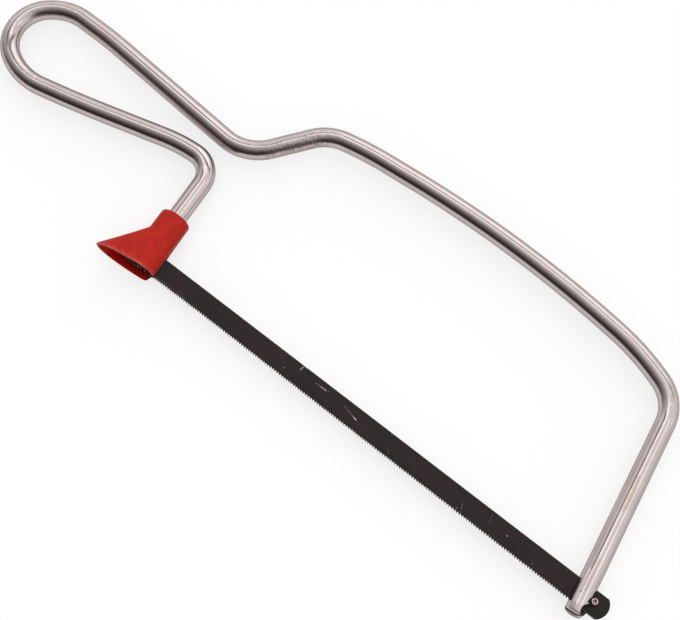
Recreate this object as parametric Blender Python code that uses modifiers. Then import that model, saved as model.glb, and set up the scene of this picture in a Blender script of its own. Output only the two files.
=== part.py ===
"""Mini hacksaw: a frame bent from one steel rod, a pin-ended blade and a moulded finger guard.

The saw lies flat. X runs forward along the blade, Y from the teeth towards the spine, and Z up out
of the saw's plane. Sizes are in metres. The saw is laid out from its front blade pin, and then moved
so that the origin is the middle of its footprint, on the surface that it lies on.
"""
import math

import bmesh
import bpy
from mathutils import Vector

# Blade
PIN_SPAN = 0.1500             # front pin to rear pin
BLADE_WIDTH = 0.0062          # back edge to tooth tips
BLADE_THICKNESS = 0.0006
BLADE_END_REACH = 0.0041      # pin centre to the end of the blade
BLADE_END_RADIUS = 0.0038
TOOTH_PITCH = 0.0254 / 32     # 32 teeth to the inch
TOOTH_DEPTH = 0.0005
TOOTH_GULLET = 0.00012        # flat at the root of each tooth
TOOTH_START = 0.0025          # plain edge between each pin and the first tooth

# Blade pins, rolled from strip
PIN_DIAMETER = 0.0020
PIN_LENGTH = 0.0048
PIN_BORE = 0.0009
PIN_CHAMFER = 0.00015

# Clearances
SEAT_GAP = 0.0003             # between a pin and its seat or hole, and a blade side and its slot
BORE_GAP = 0.0002             # between the rod and the guard's bore
TAIL_ROOM = 0.0051            # behind the blade's end, inside the guard's mouth

# Rod and its two ends
ROD_DIAMETER = 0.0054
FRONT_LEAN = math.radians(11.0)   # foot of the front leg leans forward
REAR_LEAN = math.radians(6.2)     # foot of the rear leg leans forward
FRONT_SEAT_DEPTH = 0.0008         # pin seat cut into the outer side of the leg
REAR_SEAT_DEPTH = 0.00025
KERF_ROOM = 0.0007                # slot carried on above the sweep of the blade's end
SCOOP_RADIUS = 0.0023             # thumb notch under the front seat
SCOOP_DROP = 0.0032
TOE_LENGTH = 0.0015               # rod left below the middle of the scoop
HEEL_LENGTH = 0.0009              # rod left below the rear seat

# Handle bends, placed from the rear pin and from the blade's line
HANDLE_RISE = 0.0316
HANDLE_REACH = 0.0766
REAR_TOP_RADIUS = 0.0072
ARM_BOW_BACK = 0.0152
ARM_BOW_DROP = 0.0010
ARM_BOW_RADIUS = 0.0750
ARM_SAG_BACK = 0.0379
ARM_SAG_DROP = 0.0083
ARM_SAG_RADIUS = 0.2650
LOOP_SETBACK = 0.0143
LOOP_DROP = 0.0132
LOOP_LOW_RADIUS = 0.0151
LOOP_END_RADIUS = 0.0105
LOOP_LIFT = 0.0125
LOOP_HIGH_RADIUS = 0.0175
SADDLE_AHEAD = 0.0051
SADDLE_LIFT = 0.0079
SADDLE_RADIUS = 0.0136

# Spine bends, placed from the nearer pin and below the crown of the spine
SPINE_RISE = 0.0658
SHOULDER_AHEAD = 0.0172
SHOULDER_DROP = 0.0080
SHOULDER_RADIUS = 0.0160
EASE_AHEAD = 0.0276
EASE_DROP = 0.0049
EASE_RADIUS = 0.0550
CROWN_AHEAD = 0.0720
CROWN_RADIUS = 0.3750
BROW_BEHIND = 0.0292
BROW_DROP = 0.0047
BROW_RADIUS = 0.0660
FRONT_DROP = 0.0111
FRONT_RADIUS = 0.0107

# Finger guard, along the rear leg
TUBE_WALL = 0.0013
TUBE_LENGTH = 0.0054          # straight sleeve above the flare
TUBE_DRAFT = 0.00015          # the sleeve grows this much down to the flare
RIM_RADIUS = 0.0009
FLARE_RISE = 0.0042           # flare starts this far above the blade's back edge
MOUTH_DROP = 0.0015           # mouth lies this far below the tooth tips
MOUTH_WALL = 0.0009
MOUTH_TIP_WALL = 0.0011
MOUTH_SPREAD = 0.0009         # bore widens this much to the mouth, to the sides
MOUTH_FRONT_SPREAD = 0.0008

# Fineness of the meshes
ARC_ERROR = 0.00002           # how far a chord may leave its arc
ROD_RESOLUTION = 6
CUTTER_SIDES = 48
PIN_STEPS = 28
HOLE_POINTS = 24
BLADE_END_POINTS = 14
GUARD_SIDES = 48
RIM_STEPS = 4
FLARE_STEPS = 6
CUT_MARGIN = 0.0020           # cutters run this far past what they cut

# Derived sizes
ROD_RADIUS = ROD_DIAMETER / 2
PIN_RADIUS = PIN_DIAMETER / 2
SEAT_RADIUS = PIN_RADIUS + SEAT_GAP
BLADE_HALF = BLADE_WIDTH / 2
KERF_WIDTH = BLADE_THICKNESS + 2 * SEAT_GAP
KERF_TOP = BLADE_END_REACH + KERF_ROOM
FRONT_OFFSET = ROD_RADIUS + SEAT_RADIUS - FRONT_SEAT_DEPTH    # leg axis to front pin
REAR_OFFSET = ROD_RADIUS + SEAT_RADIUS - REAR_SEAT_DEPTH      # leg axis to rear pin
TOE_DROP = SCOOP_DROP + TOE_LENGTH
HEEL_DROP = SEAT_RADIUS + HEEL_LENGTH


class Leg:
    """A straight leg of the rod: its axis beside a blade pin, and which way is down and forward."""

    def __init__(self, pin_x, lean, offset):
        self.lean = lean
        self.down = Vector((math.sin(lean), -math.cos(lean)))
        self.ahead = Vector((math.cos(lean), math.sin(lean)))
        self.seat = Vector((pin_x, 0.0)) + self.ahead * offset

    def at_drop(self, drop):
        """Point on the axis this far below the pin's level."""
        return self.seat + self.down * drop

    def at_height(self, height):
        """Point on the axis at this height above the blade's line."""
        return self.seat - self.down * ((height - self.seat.y) / math.cos(self.lean))


FRONT_LEG = Leg(0.0, FRONT_LEAN, -FRONT_OFFSET)
REAR_LEG = Leg(-PIN_SPAN, REAR_LEAN, REAR_OFFSET)


def clear_scene():
    """Remove every object that the scene starts with."""
    for obj in list(bpy.data.objects):
        bpy.data.objects.remove(obj, do_unlink=True)


def new_collection(name):
    """Add a collection to the scene."""
    collection = bpy.data.collections.new(name)
    bpy.context.scene.collection.children.link(collection)
    return collection


def new_material(name, colour, roughness, metallic):
    """Plain Principled material."""
    material = bpy.data.materials.new(name)
    material.use_nodes = True
    shader = material.node_tree.nodes["Principled BSDF"]
    shader.inputs["Base Color"].default_value = (*colour, 1.0)
    shader.inputs["Roughness"].default_value = roughness
    shader.inputs["Metallic"].default_value = metallic
    return material


def new_empty(name, collection, parent=None, place=(0.0, 0.0), turn=0.0):
    """Empty in the saw's plane, turned about Z, that carries pieces."""
    empty = bpy.data.objects.new(name, None)
    empty.location = (place[0], place[1], 0.0)
    empty.rotation_euler.z = turn
    empty.parent = parent
    collection.objects.link(empty)
    return empty


def add_object(name, data, collection, parent):
    """Object at its parent's origin."""
    obj = bpy.data.objects.new(name, data)
    obj.parent = parent
    collection.objects.link(obj)
    return obj


def bmesh_to_mesh(name, bm):
    """Turn a bmesh into mesh data and free it."""
    bmesh.ops.recalc_face_normals(bm, faces=bm.faces[:])
    mesh = bpy.data.meshes.new(name)
    bm.to_mesh(mesh)
    bm.free()
    return mesh


def smooth(mesh, sharp_degrees=35.0):
    """Shade round faces smooth, and keep edges sharper than this."""
    mesh.shade_smooth()
    mesh.set_sharp_from_angle(angle=math.radians(sharp_degrees))


def curve_to_mesh(curve_object):
    """Replace a curve object by a closed mesh object of the same name and place."""
    name = curve_object.name
    depsgraph = bpy.context.evaluated_depsgraph_get()
    mesh = bpy.data.meshes.new_from_object(curve_object.evaluated_get(depsgraph))
    bm = bmesh.new()
    bm.from_mesh(mesh)
    bmesh.ops.remove_doubles(bm, verts=bm.verts[:], dist=1e-6)
    bmesh.ops.recalc_face_normals(bm, faces=bm.faces[:])
    bm.to_mesh(mesh)
    bm.free()
    collection = curve_object.users_collection[0]
    parent = curve_object.parent
    matrix = curve_object.matrix_world.copy()
    bpy.data.objects.remove(curve_object, do_unlink=True)
    obj = add_object(name, mesh, collection, parent)
    obj.matrix_world = matrix
    return obj


def cut(obj, cutter):
    """Cut one object out of another."""
    cutter.hide_render = True
    cutter.display_type = "WIRE"
    modifier = obj.modifiers.new(cutter.name, "BOOLEAN")
    modifier.operation = "DIFFERENCE"
    modifier.solver = "EXACT"
    modifier.object = cutter


def round_cutter(name, radius, length, place, collection, parent):
    """Round cutter across the saw's plane."""
    bm = bmesh.new()
    bmesh.ops.create_cone(bm, cap_ends=True, segments=CUTTER_SIDES, radius1=radius, radius2=radius, depth=length)
    cutter = add_object(name, bmesh_to_mesh(name, bm), collection, parent)
    cutter.location = (place[0], place[1], 0.0)
    return cutter


def box_cutter(name, low, high, collection, parent):
    """Box cutter between two corners."""
    bm = bmesh.new()
    bmesh.ops.create_cube(bm, size=1.0)
    size = Vector(high) - Vector(low)
    bmesh.ops.scale(bm, vec=size, verts=bm.verts[:])
    bmesh.ops.translate(bm, vec=(Vector(low) + Vector(high)) / 2, verts=bm.verts[:])
    return add_object(name, bmesh_to_mesh(name, bm), collection, parent)


def arc_points(centre, start, turn, radius):
    """Points on an arc about a centre, from a start offset through a turn, within the arc error."""
    step = 2 * math.acos(1 - ARC_ERROR / radius)
    count = max(2, math.ceil(abs(turn) / step))
    points = []
    for index in range(count + 1):
        angle = turn * index / count
        cos_a, sin_a = math.cos(angle), math.sin(angle)
        points.append(centre + Vector((start.x * cos_a - start.y * sin_a, start.x * sin_a + start.y * cos_a)))
    return points


def bent_path(start, bends, end):
    """Centre line of a rod bent at each corner to its radius; a bend is limited by the runs beside it."""
    corners = [start] + [corner for corner, radius in bends] + [end]
    runs = [(b - a).length for a, b in zip(corners, corners[1:])]
    headings = [(b - a).normalized() for a, b in zip(corners, corners[1:])]
    turns = []
    for before, after in zip(headings, headings[1:]):
        turns.append(math.atan2(before.x * after.y - before.y * after.x, before.dot(after)))
    tangents = [radius * math.tan(abs(turn) / 2) for (corner, radius), turn in zip(bends, turns)]
    reaches = [0.0] + tangents + [0.0]
    shares = [min(1.0, run / max(a + b, 1e-9)) for run, a, b in zip(runs, reaches, reaches[1:])]
    points = [start]
    for index, (corner, radius) in enumerate(bends):
        share = min(shares[index], shares[index + 1])
        before, turn = headings[index], turns[index]
        side = math.copysign(1.0, turn)
        inward = Vector((-before.y, before.x)) * side
        bend_start = corner - before * tangents[index] * share
        centre = bend_start + inward * radius * share
        for point in arc_points(centre, bend_start - centre, turn, radius * share):
            if (point - points[-1]).length > ARC_ERROR:
                points.append(point)
    points.append(end)
    return points


def rod_bends():
    """Corners of the bent rod and their radii, from the rear leg round the handle to the front leg."""
    rear = -PIN_SPAN
    loop_x = rear - HANDLE_REACH + LOOP_SETBACK
    return [
        (REAR_LEG.at_height(HANDLE_RISE), REAR_TOP_RADIUS),
        (Vector((rear - ARM_BOW_BACK, HANDLE_RISE - ARM_BOW_DROP)), ARM_BOW_RADIUS),
        (Vector((rear - ARM_SAG_BACK, HANDLE_RISE - ARM_SAG_DROP)), ARM_SAG_RADIUS),
        (Vector((loop_x, HANDLE_RISE - LOOP_DROP)), LOOP_LOW_RADIUS),
        (Vector((rear - HANDLE_REACH, HANDLE_RISE)), LOOP_END_RADIUS),
        (Vector((loop_x, HANDLE_RISE + LOOP_LIFT)), LOOP_HIGH_RADIUS),
        (Vector((rear + SADDLE_AHEAD, HANDLE_RISE + SADDLE_LIFT)), SADDLE_RADIUS),
        (Vector((rear + SHOULDER_AHEAD, SPINE_RISE - SHOULDER_DROP)), SHOULDER_RADIUS),
        (Vector((rear + EASE_AHEAD, SPINE_RISE - EASE_DROP)), EASE_RADIUS),
        (Vector((rear + CROWN_AHEAD, SPINE_RISE)), CROWN_RADIUS),
        (Vector((-BROW_BEHIND, SPINE_RISE - BROW_DROP)), BROW_RADIUS),
        (FRONT_LEG.at_height(SPINE_RISE - FRONT_DROP), FRONT_RADIUS),
    ]


def build_frame(parts, cutters, root):
    """Rod bent to the frame, slotted for the blade at both ends, with the pin seats and the scoop."""
    path = bent_path(REAR_LEG.at_drop(HEEL_DROP), rod_bends(), FRONT_LEG.at_drop(TOE_DROP))
    curve = bpy.data.curves.new("bent_rod_frame", "CURVE")
    curve.dimensions = "3D"
    curve.twist_mode = "Z_UP"
    curve.bevel_depth = ROD_RADIUS
    curve.bevel_resolution = ROD_RESOLUTION
    curve.use_fill_caps = True
    spline = curve.splines.new("POLY")
    spline.points.add(len(path) - 1)
    for spline_point, point in zip(spline.points, path):
        spline_point.co = (point.x, point.y, 0.0, 1.0)
    frame = curve_to_mesh(add_object("bent_rod_frame", curve, parts, root))
    smooth(frame.data)

    cutter_length = ROD_DIAMETER + 2 * CUT_MARGIN
    reach = ROD_RADIUS + CUT_MARGIN
    for end, leg, pin_x, drop in (("front", FRONT_LEG, 0.0, TOE_DROP), ("rear", REAR_LEG, -PIN_SPAN, HEEL_DROP)):
        seat = new_empty(end + "_leg_axis", cutters, root, leg.seat, leg.lean)
        kerf_low = (-reach, -drop - CUT_MARGIN, -KERF_WIDTH / 2)
        kerf_high = (reach, KERF_TOP, KERF_WIDTH / 2)
        cut(frame, box_cutter(end + "_kerf", kerf_low, kerf_high, cutters, seat))
        cut(frame, round_cutter(end + "_seat", SEAT_RADIUS, cutter_length, (pin_x, 0.0), cutters, root))
    scoop_place = FRONT_LEG.at_drop(SCOOP_DROP) + FRONT_LEG.ahead * FRONT_OFFSET
    cut(frame, round_cutter("toe_scoop", SCOOP_RADIUS, cutter_length, scoop_place, cutters, root))
    frame.data.materials.append(new_material("plated_steel", (0.70, 0.67, 0.66), 0.25, 1.0))
    return frame


def blade_outline():
    """Outline of the blade from its front pin: back edge, round ends and the row of teeth."""
    centre = BLADE_END_REACH - BLADE_END_RADIUS
    half_angle = math.asin(BLADE_HALF / BLADE_END_RADIUS)
    angles = [half_angle * (1 - 2 * index / BLADE_END_POINTS) for index in range(BLADE_END_POINTS + 1)]
    front = [(centre + BLADE_END_RADIUS * math.cos(a), BLADE_END_RADIUS * math.sin(a)) for a in angles]
    rear = [(-PIN_SPAN - x, -y) for x, y in front]
    teeth = []
    gullet_y = TOOTH_DEPTH - BLADE_HALF
    count = int((PIN_SPAN - 2 * TOOTH_START) / TOOTH_PITCH)
    first = -(PIN_SPAN - count * TOOTH_PITCH) / 2
    for index in range(count):
        tip_x = first - index * TOOTH_PITCH
        teeth.append((tip_x, gullet_y))
        teeth.append((tip_x - TOOTH_GULLET / 2, -BLADE_HALF))
        teeth.append((tip_x - TOOTH_PITCH + TOOTH_GULLET, gullet_y))
    teeth.append((first - count * TOOTH_PITCH, -BLADE_HALF))
    return front + [(first, -BLADE_HALF)] + teeth + rear


def circle(radius, centre_x):
    """Points round a pin hole."""
    steps = [2 * math.pi * index / HOLE_POINTS for index in range(HOLE_POINTS)]
    return [(centre_x + radius * math.cos(a), radius * math.sin(a)) for a in steps]


def build_blade(parts, hinge):
    """Blade blank with its teeth and its two pin holes."""
    curve = bpy.data.curves.new("saw_blade", "CURVE")
    curve.dimensions = "2D"
    curve.fill_mode = "BOTH"
    curve.extrude = BLADE_THICKNESS / 2
    for points in (blade_outline(), circle(SEAT_RADIUS, 0.0), circle(SEAT_RADIUS, -PIN_SPAN)):
        spline = curve.splines.new("POLY")
        spline.points.add(len(points) - 1)
        for spline_point, (x, y) in zip(spline.points, points):
            spline_point.co = (x, y, 0.0, 1.0)
        spline.use_cyclic_u = True
    blade = curve_to_mesh(add_object("saw_blade", curve, parts, hinge))
    blade.data.materials.append(new_material("black_blade", (0.028, 0.024, 0.024), 0.45, 0.2))
    return blade


def build_pins(parts, hinge):
    """Two tubular pins, chamfered at their ends, one through each blade hole."""
    half = PIN_LENGTH / 2
    bore = PIN_BORE / 2
    profile = [
        (PIN_RADIUS - PIN_CHAMFER, half),
        (PIN_RADIUS, half - PIN_CHAMFER),
        (PIN_RADIUS, PIN_CHAMFER - half),
        (PIN_RADIUS - PIN_CHAMFER, -half),
        (bore, -half),
        (bore, half),
    ]
    mesh = bpy.data.meshes.new("blade_pin")
    edges = [(index, (index + 1) % len(profile)) for index in range(len(profile))]
    mesh.from_pydata([(x, 0.0, z) for x, z in profile], edges, [])
    mesh.materials.append(new_material("pin_steel", (0.72, 0.68, 0.64), 0.25, 1.0))
    pins = []
    for name, pin_x in (("front_blade_pin", 0.0), ("rear_blade_pin", -PIN_SPAN)):
        pin = add_object(name, mesh, parts, hinge)
        pin.location.x = pin_x
        screw = pin.modifiers.new("turn", "SCREW")
        screw.steps = PIN_STEPS
        screw.render_steps = PIN_STEPS
        screw.use_merge_vertices = True
        screw.merge_threshold = 1e-6
        pins.append(pin)
    return pins


def guard_ring(bm, drop, front, side, rear):
    """Ring of the guard across the leg: an oval whose front and rear halves have their own reach."""
    ring = []
    for index in range(GUARD_SIDES):
        angle = 2 * math.pi * (index + 0.5) / GUARD_SIDES
        reach = front if math.cos(angle) > 0 else rear
        ring.append(bm.verts.new((reach * math.cos(angle), -drop, side * math.sin(angle))))
    return ring


def blend(a, b, share):
    """Value between two sizes."""
    return a + (b - a) * share


def build_guard(parts, cutters, axis):
    """Moulded sleeve on the rear leg that flares back to an oval mouth over the blade's tail."""
    bore = ROD_RADIUS + BORE_GAP
    tube = bore + TUBE_WALL
    flare_drop = -BLADE_HALF - FLARE_RISE
    top_drop = flare_drop - TUBE_LENGTH
    mouth_drop = BLADE_HALF + MOUTH_DROP
    bore_flare_drop = flare_drop - MOUTH_WALL
    tail_reach = BLADE_END_REACH + REAR_OFFSET
    inner_mouth = (bore + MOUTH_FRONT_SPREAD, bore + MOUTH_SPREAD, tail_reach + TAIL_ROOM)
    walls = (MOUTH_WALL, MOUTH_WALL, MOUTH_TIP_WALL)
    outer_mouth = tuple(reach + wall for reach, wall in zip(inner_mouth, walls))

    bm = bmesh.new()
    rings = []
    for index in range(RIM_STEPS):
        angle = math.pi / 2 * index / RIM_STEPS
        radius = tube - RIM_RADIUS * (1 - math.sin(angle))
        rings.append(guard_ring(bm, top_drop + RIM_RADIUS * (1 - math.cos(angle)), radius, radius, radius))
    rings.append(guard_ring(bm, top_drop + RIM_RADIUS, tube, tube, tube))
    flare = tube + TUBE_DRAFT
    for index in range(FLARE_STEPS + 1):
        share = index / FLARE_STEPS
        reaches = [blend(flare, reach, share) for reach in outer_mouth]
        rings.append(guard_ring(bm, blend(flare_drop, mouth_drop, share), *reaches))
    for index in range(FLARE_STEPS, -1, -1):
        share = index / FLARE_STEPS
        reaches = [blend(bore, reach, share) for reach in inner_mouth]
        rings.append(guard_ring(bm, blend(bore_flare_drop, mouth_drop, share), *reaches))
    rings.append(guard_ring(bm, top_drop, bore, bore, bore))
    for ring, after in zip(rings, rings[1:] + rings[:1]):
        for index in range(GUARD_SIDES):
            other = (index + 1) % GUARD_SIDES
            bm.faces.new((ring[index], ring[other], after[other], after[index]))
    mesh = bmesh_to_mesh("finger_guard", bm)
    smooth(mesh)
    guard = add_object("finger_guard", mesh, parts, axis)

    slot_top = (BLADE_HALF - REAR_LEG.seat.y) / math.cos(REAR_LEAN) + SEAT_GAP
    slot_low = (0.0, -mouth_drop - CUT_MARGIN, -KERF_WIDTH / 2)
    slot_high = (outer_mouth[0] + CUT_MARGIN, slot_top, KERF_WIDTH / 2)
    cut(guard, box_cutter("guard_slot", slot_low, slot_high, cutters, axis))
    mesh.materials.append(new_material("red_plastic", (0.48, 0.024, 0.019), 0.45, 0.0))
    return guard


def centre_on_footprint(root, pieces):
    """Move the saw so that the origin is the middle of its footprint, at its lowest point."""
    depsgraph = bpy.context.evaluated_depsgraph_get()
    corners = []
    for piece in pieces:
        evaluated = piece.evaluated_get(depsgraph)
        corners += [evaluated.matrix_world @ vertex.co for vertex in evaluated.to_mesh().vertices]
        evaluated.to_mesh_clear()
    low = [min(corner[axis] for corner in corners) for axis in range(3)]
    high = [max(corner[axis] for corner in corners) for axis in range(3)]
    root.location = (-(low[0] + high[0]) / 2, -(low[1] + high[1]) / 2, -low[2])
    bpy.context.view_layer.update()


def main():
    """Build the saw."""
    clear_scene()
    parts = new_collection("mini_hacksaw")
    cutters = new_collection("cutters")
    root = new_empty("saw_origin", parts)
    hinge = new_empty("front_pin_axis", parts, root)
    guard_axis = new_empty("guard_axis", parts, root, REAR_LEG.seat, REAR_LEAN)
    bpy.context.view_layer.update()
    pieces = [build_frame(parts, cutters, root), build_blade(parts, hinge)]
    pieces += build_pins(parts, hinge)
    pieces.append(build_guard(parts, cutters, guard_axis))
    centre_on_footprint(root, pieces)


main()
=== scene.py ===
"""Looks of the mini hacksaw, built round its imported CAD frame.

Four sub-assemblies are dressed: the bent rod, the toothed blade, its two pins and the finger guard.
Each is a class that holds its sizes, builds its mesh in the CAD's own frame and takes a finish. The
saw lies flat: X runs forward along the blade, Y from the teeth towards the spine, and Z up.
"""
import logging
import math
from abc import ABC, abstractmethod
from dataclasses import dataclass
from enum import Enum
from typing import Callable, Iterable, Mapping, Sequence, Union

import bmesh
import bpy
from mathutils import Matrix, Vector
from mathutils.kdtree import KDTree


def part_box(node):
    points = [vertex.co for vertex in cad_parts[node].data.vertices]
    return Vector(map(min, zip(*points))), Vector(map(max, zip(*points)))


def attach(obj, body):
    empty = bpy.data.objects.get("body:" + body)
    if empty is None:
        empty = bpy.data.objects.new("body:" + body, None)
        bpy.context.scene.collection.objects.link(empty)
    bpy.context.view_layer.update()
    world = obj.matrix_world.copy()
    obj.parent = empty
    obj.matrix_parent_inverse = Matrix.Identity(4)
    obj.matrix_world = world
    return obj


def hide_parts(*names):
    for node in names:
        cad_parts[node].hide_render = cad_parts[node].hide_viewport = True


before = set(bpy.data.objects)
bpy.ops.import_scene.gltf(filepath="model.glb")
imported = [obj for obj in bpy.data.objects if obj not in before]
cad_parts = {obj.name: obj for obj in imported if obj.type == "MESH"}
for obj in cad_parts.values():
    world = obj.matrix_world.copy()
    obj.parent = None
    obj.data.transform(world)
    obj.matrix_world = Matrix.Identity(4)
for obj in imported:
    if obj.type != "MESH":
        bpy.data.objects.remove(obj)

MM = 0.001
HAIR = 1e-6
CUTTER_SIDES = 96
FULL_TURN = 2 * math.pi
HALF_TURN = math.pi
QUARTER_TURN = math.pi / 2
LOG = logging.getLogger("mini_hacksaw")

Node = bpy.types.Node
Socket = bpy.types.NodeSocket
Sockets = Mapping[str, Socket]
Piece = bpy.types.Object
Colour = tuple[float, float, float]
Way = tuple[float, float, float]
Pair = tuple[float, float]
Feed = Union[Socket, float, Sequence[float]]
Recipe = Callable[["NodeSheet", Sockets], dict[str, Socket]]


class Body(Enum):
    """Bodies of the CAD frame that a piece can ride on."""

    FRAME = "frame"
    BLADE = "blade"
    GUARD = "guard"


class Slot(Enum):
    """Material slots of the record, which the finishes are named for."""

    PLATED_ROD = "plated_rod"
    BLACK_BLADE = "black_blade"
    PIN_STEEL = "pin_steel"
    RED_PLASTIC = "red_plastic"


class Effect(Enum):
    """Surface effects that more than one finish uses."""

    GRAIN = "fine_grain"
    DRAWN = "draw_marks"
    SCRATCH = "scratch"
    SPECKS = "specks"
    WEAR = "edge_wear"


class NodeSheet:
    """A node tree that is filled in node by node.

    The MIX values are the places of a Mix node's sockets for colours, and NUMBER_RESULTS are the
    vector operations that give a number.
    """

    MIX_SHARE, MIX_A, MIX_B, MIX_RESULT = 0, 6, 7, 2
    NUMBER_RESULTS = ("DOT_PRODUCT", "DISTANCE")

    def __init__(self, tree: bpy.types.NodeTree) -> None:
        """Hold the tree."""
        self.tree = tree

    def add(self, kind: str, **settings: object) -> Node:
        """Add a node.

        Args:
            kind: Blender's name of the node type.
            settings: properties to set on it.

        Returns:
            The new node.
        """
        node = self.tree.nodes.new(kind)
        for name, value in settings.items():
            setattr(node, name, value)
        return node

    def feed(self, socket: Socket, value: Feed) -> None:
        """Wire an output into an input, or set a plain value on it.

        Args:
            socket: the input.
            value: an output, or a plain value, which is three numbers for a colour.
        """
        if isinstance(value, Socket):
            self.tree.links.new(value, socket)
        elif socket.type == "RGBA":
            socket.default_value = (*value, 1.0)
        else:
            socket.default_value = value

    def fill(self, node: Node, **values: Feed) -> Node:
        """Feed a node's inputs.

        Args:
            node: the node.
            values: its inputs by name, with _ for a space.

        Returns:
            The node.
        """
        for name, value in values.items():
            self.feed(node.inputs[name.replace("_", " ")], value)
        return node

    def math(self, operation: str, *values: Feed, clamp: bool = False) -> Socket:
        """Sum, product or other operation, carried through a row of values.

        Args:
            operation: Blender's name of the operation.
            values: one value or more.
            clamp: keep each result between 0 and 1.

        Returns:
            The last result.
        """
        result, *others = values
        for other in others or (0.0,):
            node = self.add("ShaderNodeMath", operation=operation, use_clamp=clamp)
            self.feed(node.inputs[0], result)
            self.feed(node.inputs[1], other)
            result = node.outputs[0]
        return result

    def vector(self, operation: str, a: Feed, b: Feed) -> Socket:
        """Operation on two vectors.

        Args:
            operation: Blender's name of the operation.
            a: first vector.
            b: second vector.

        Returns:
            The result, a number or a vector.
        """
        node = self.add("ShaderNodeVectorMath", operation=operation)
        self.feed(node.inputs[0], a)
        self.feed(node.inputs[1], b)
        return node.outputs["Value" if operation in self.NUMBER_RESULTS else "Vector"]

    def step(
        self, value: Feed, low: Feed, high: Feed, start: float = 0.0, end: float = 1.0
    ) -> Socket:
        """Smooth step of a value.

        Args:
            value: the value to read.
            low: where the step starts.
            high: where the step ends.
            start: result before the step.
            end: result after it.

        Returns:
            The result.
        """
        node = self.add("ShaderNodeMapRange", interpolation_type="SMOOTHSTEP")
        self.fill(node, Value=value, From_Min=low, From_Max=high, To_Min=start, To_Max=end)
        return node.outputs["Result"]

    def spread(self, value: Feed, start: float, end: float) -> Socket:
        """Value from 0 to 1 spread straight over another range."""
        node = self.fill(self.add("ShaderNodeMapRange"), Value=value, To_Min=start, To_Max=end)
        return node.outputs["Result"]

    def mix(self, share: Feed, a: Feed, b: Feed) -> Socket:
        """Colour between two colours.

        Args:
            share: how far to go from the first to the second.
            a: first colour.
            b: second colour.

        Returns:
            The mixed colour.
        """
        node = self.add("ShaderNodeMix", data_type="RGBA")
        self.feed(node.inputs[self.MIX_SHARE], share)
        self.feed(node.inputs[self.MIX_A], a)
        self.feed(node.inputs[self.MIX_B], b)
        return node.outputs[self.MIX_RESULT]

    def noise(self, place: Feed, scale: Feed, detail: float = 2.0, roughness: float = 0.5) -> Socket:
        """Cloudy noise.

        Args:
            place: where to read it.
            scale: how fine it is.
            detail: how many finer layers it has.
            roughness: how strong those are.

        Returns:
            Its level, from 0 to 1.
        """
        node = self.add("ShaderNodeTexNoise")
        self.fill(node, Vector=place, Scale=scale, Detail=detail, Roughness=roughness)
        return node.outputs["Fac"]

    def attribute(self, name: str, output: str = "Fac") -> Socket:
        """Value, or another output, of a mesh attribute."""
        return self.add("ShaderNodeAttribute", attribute_name=name).outputs[output]


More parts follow.
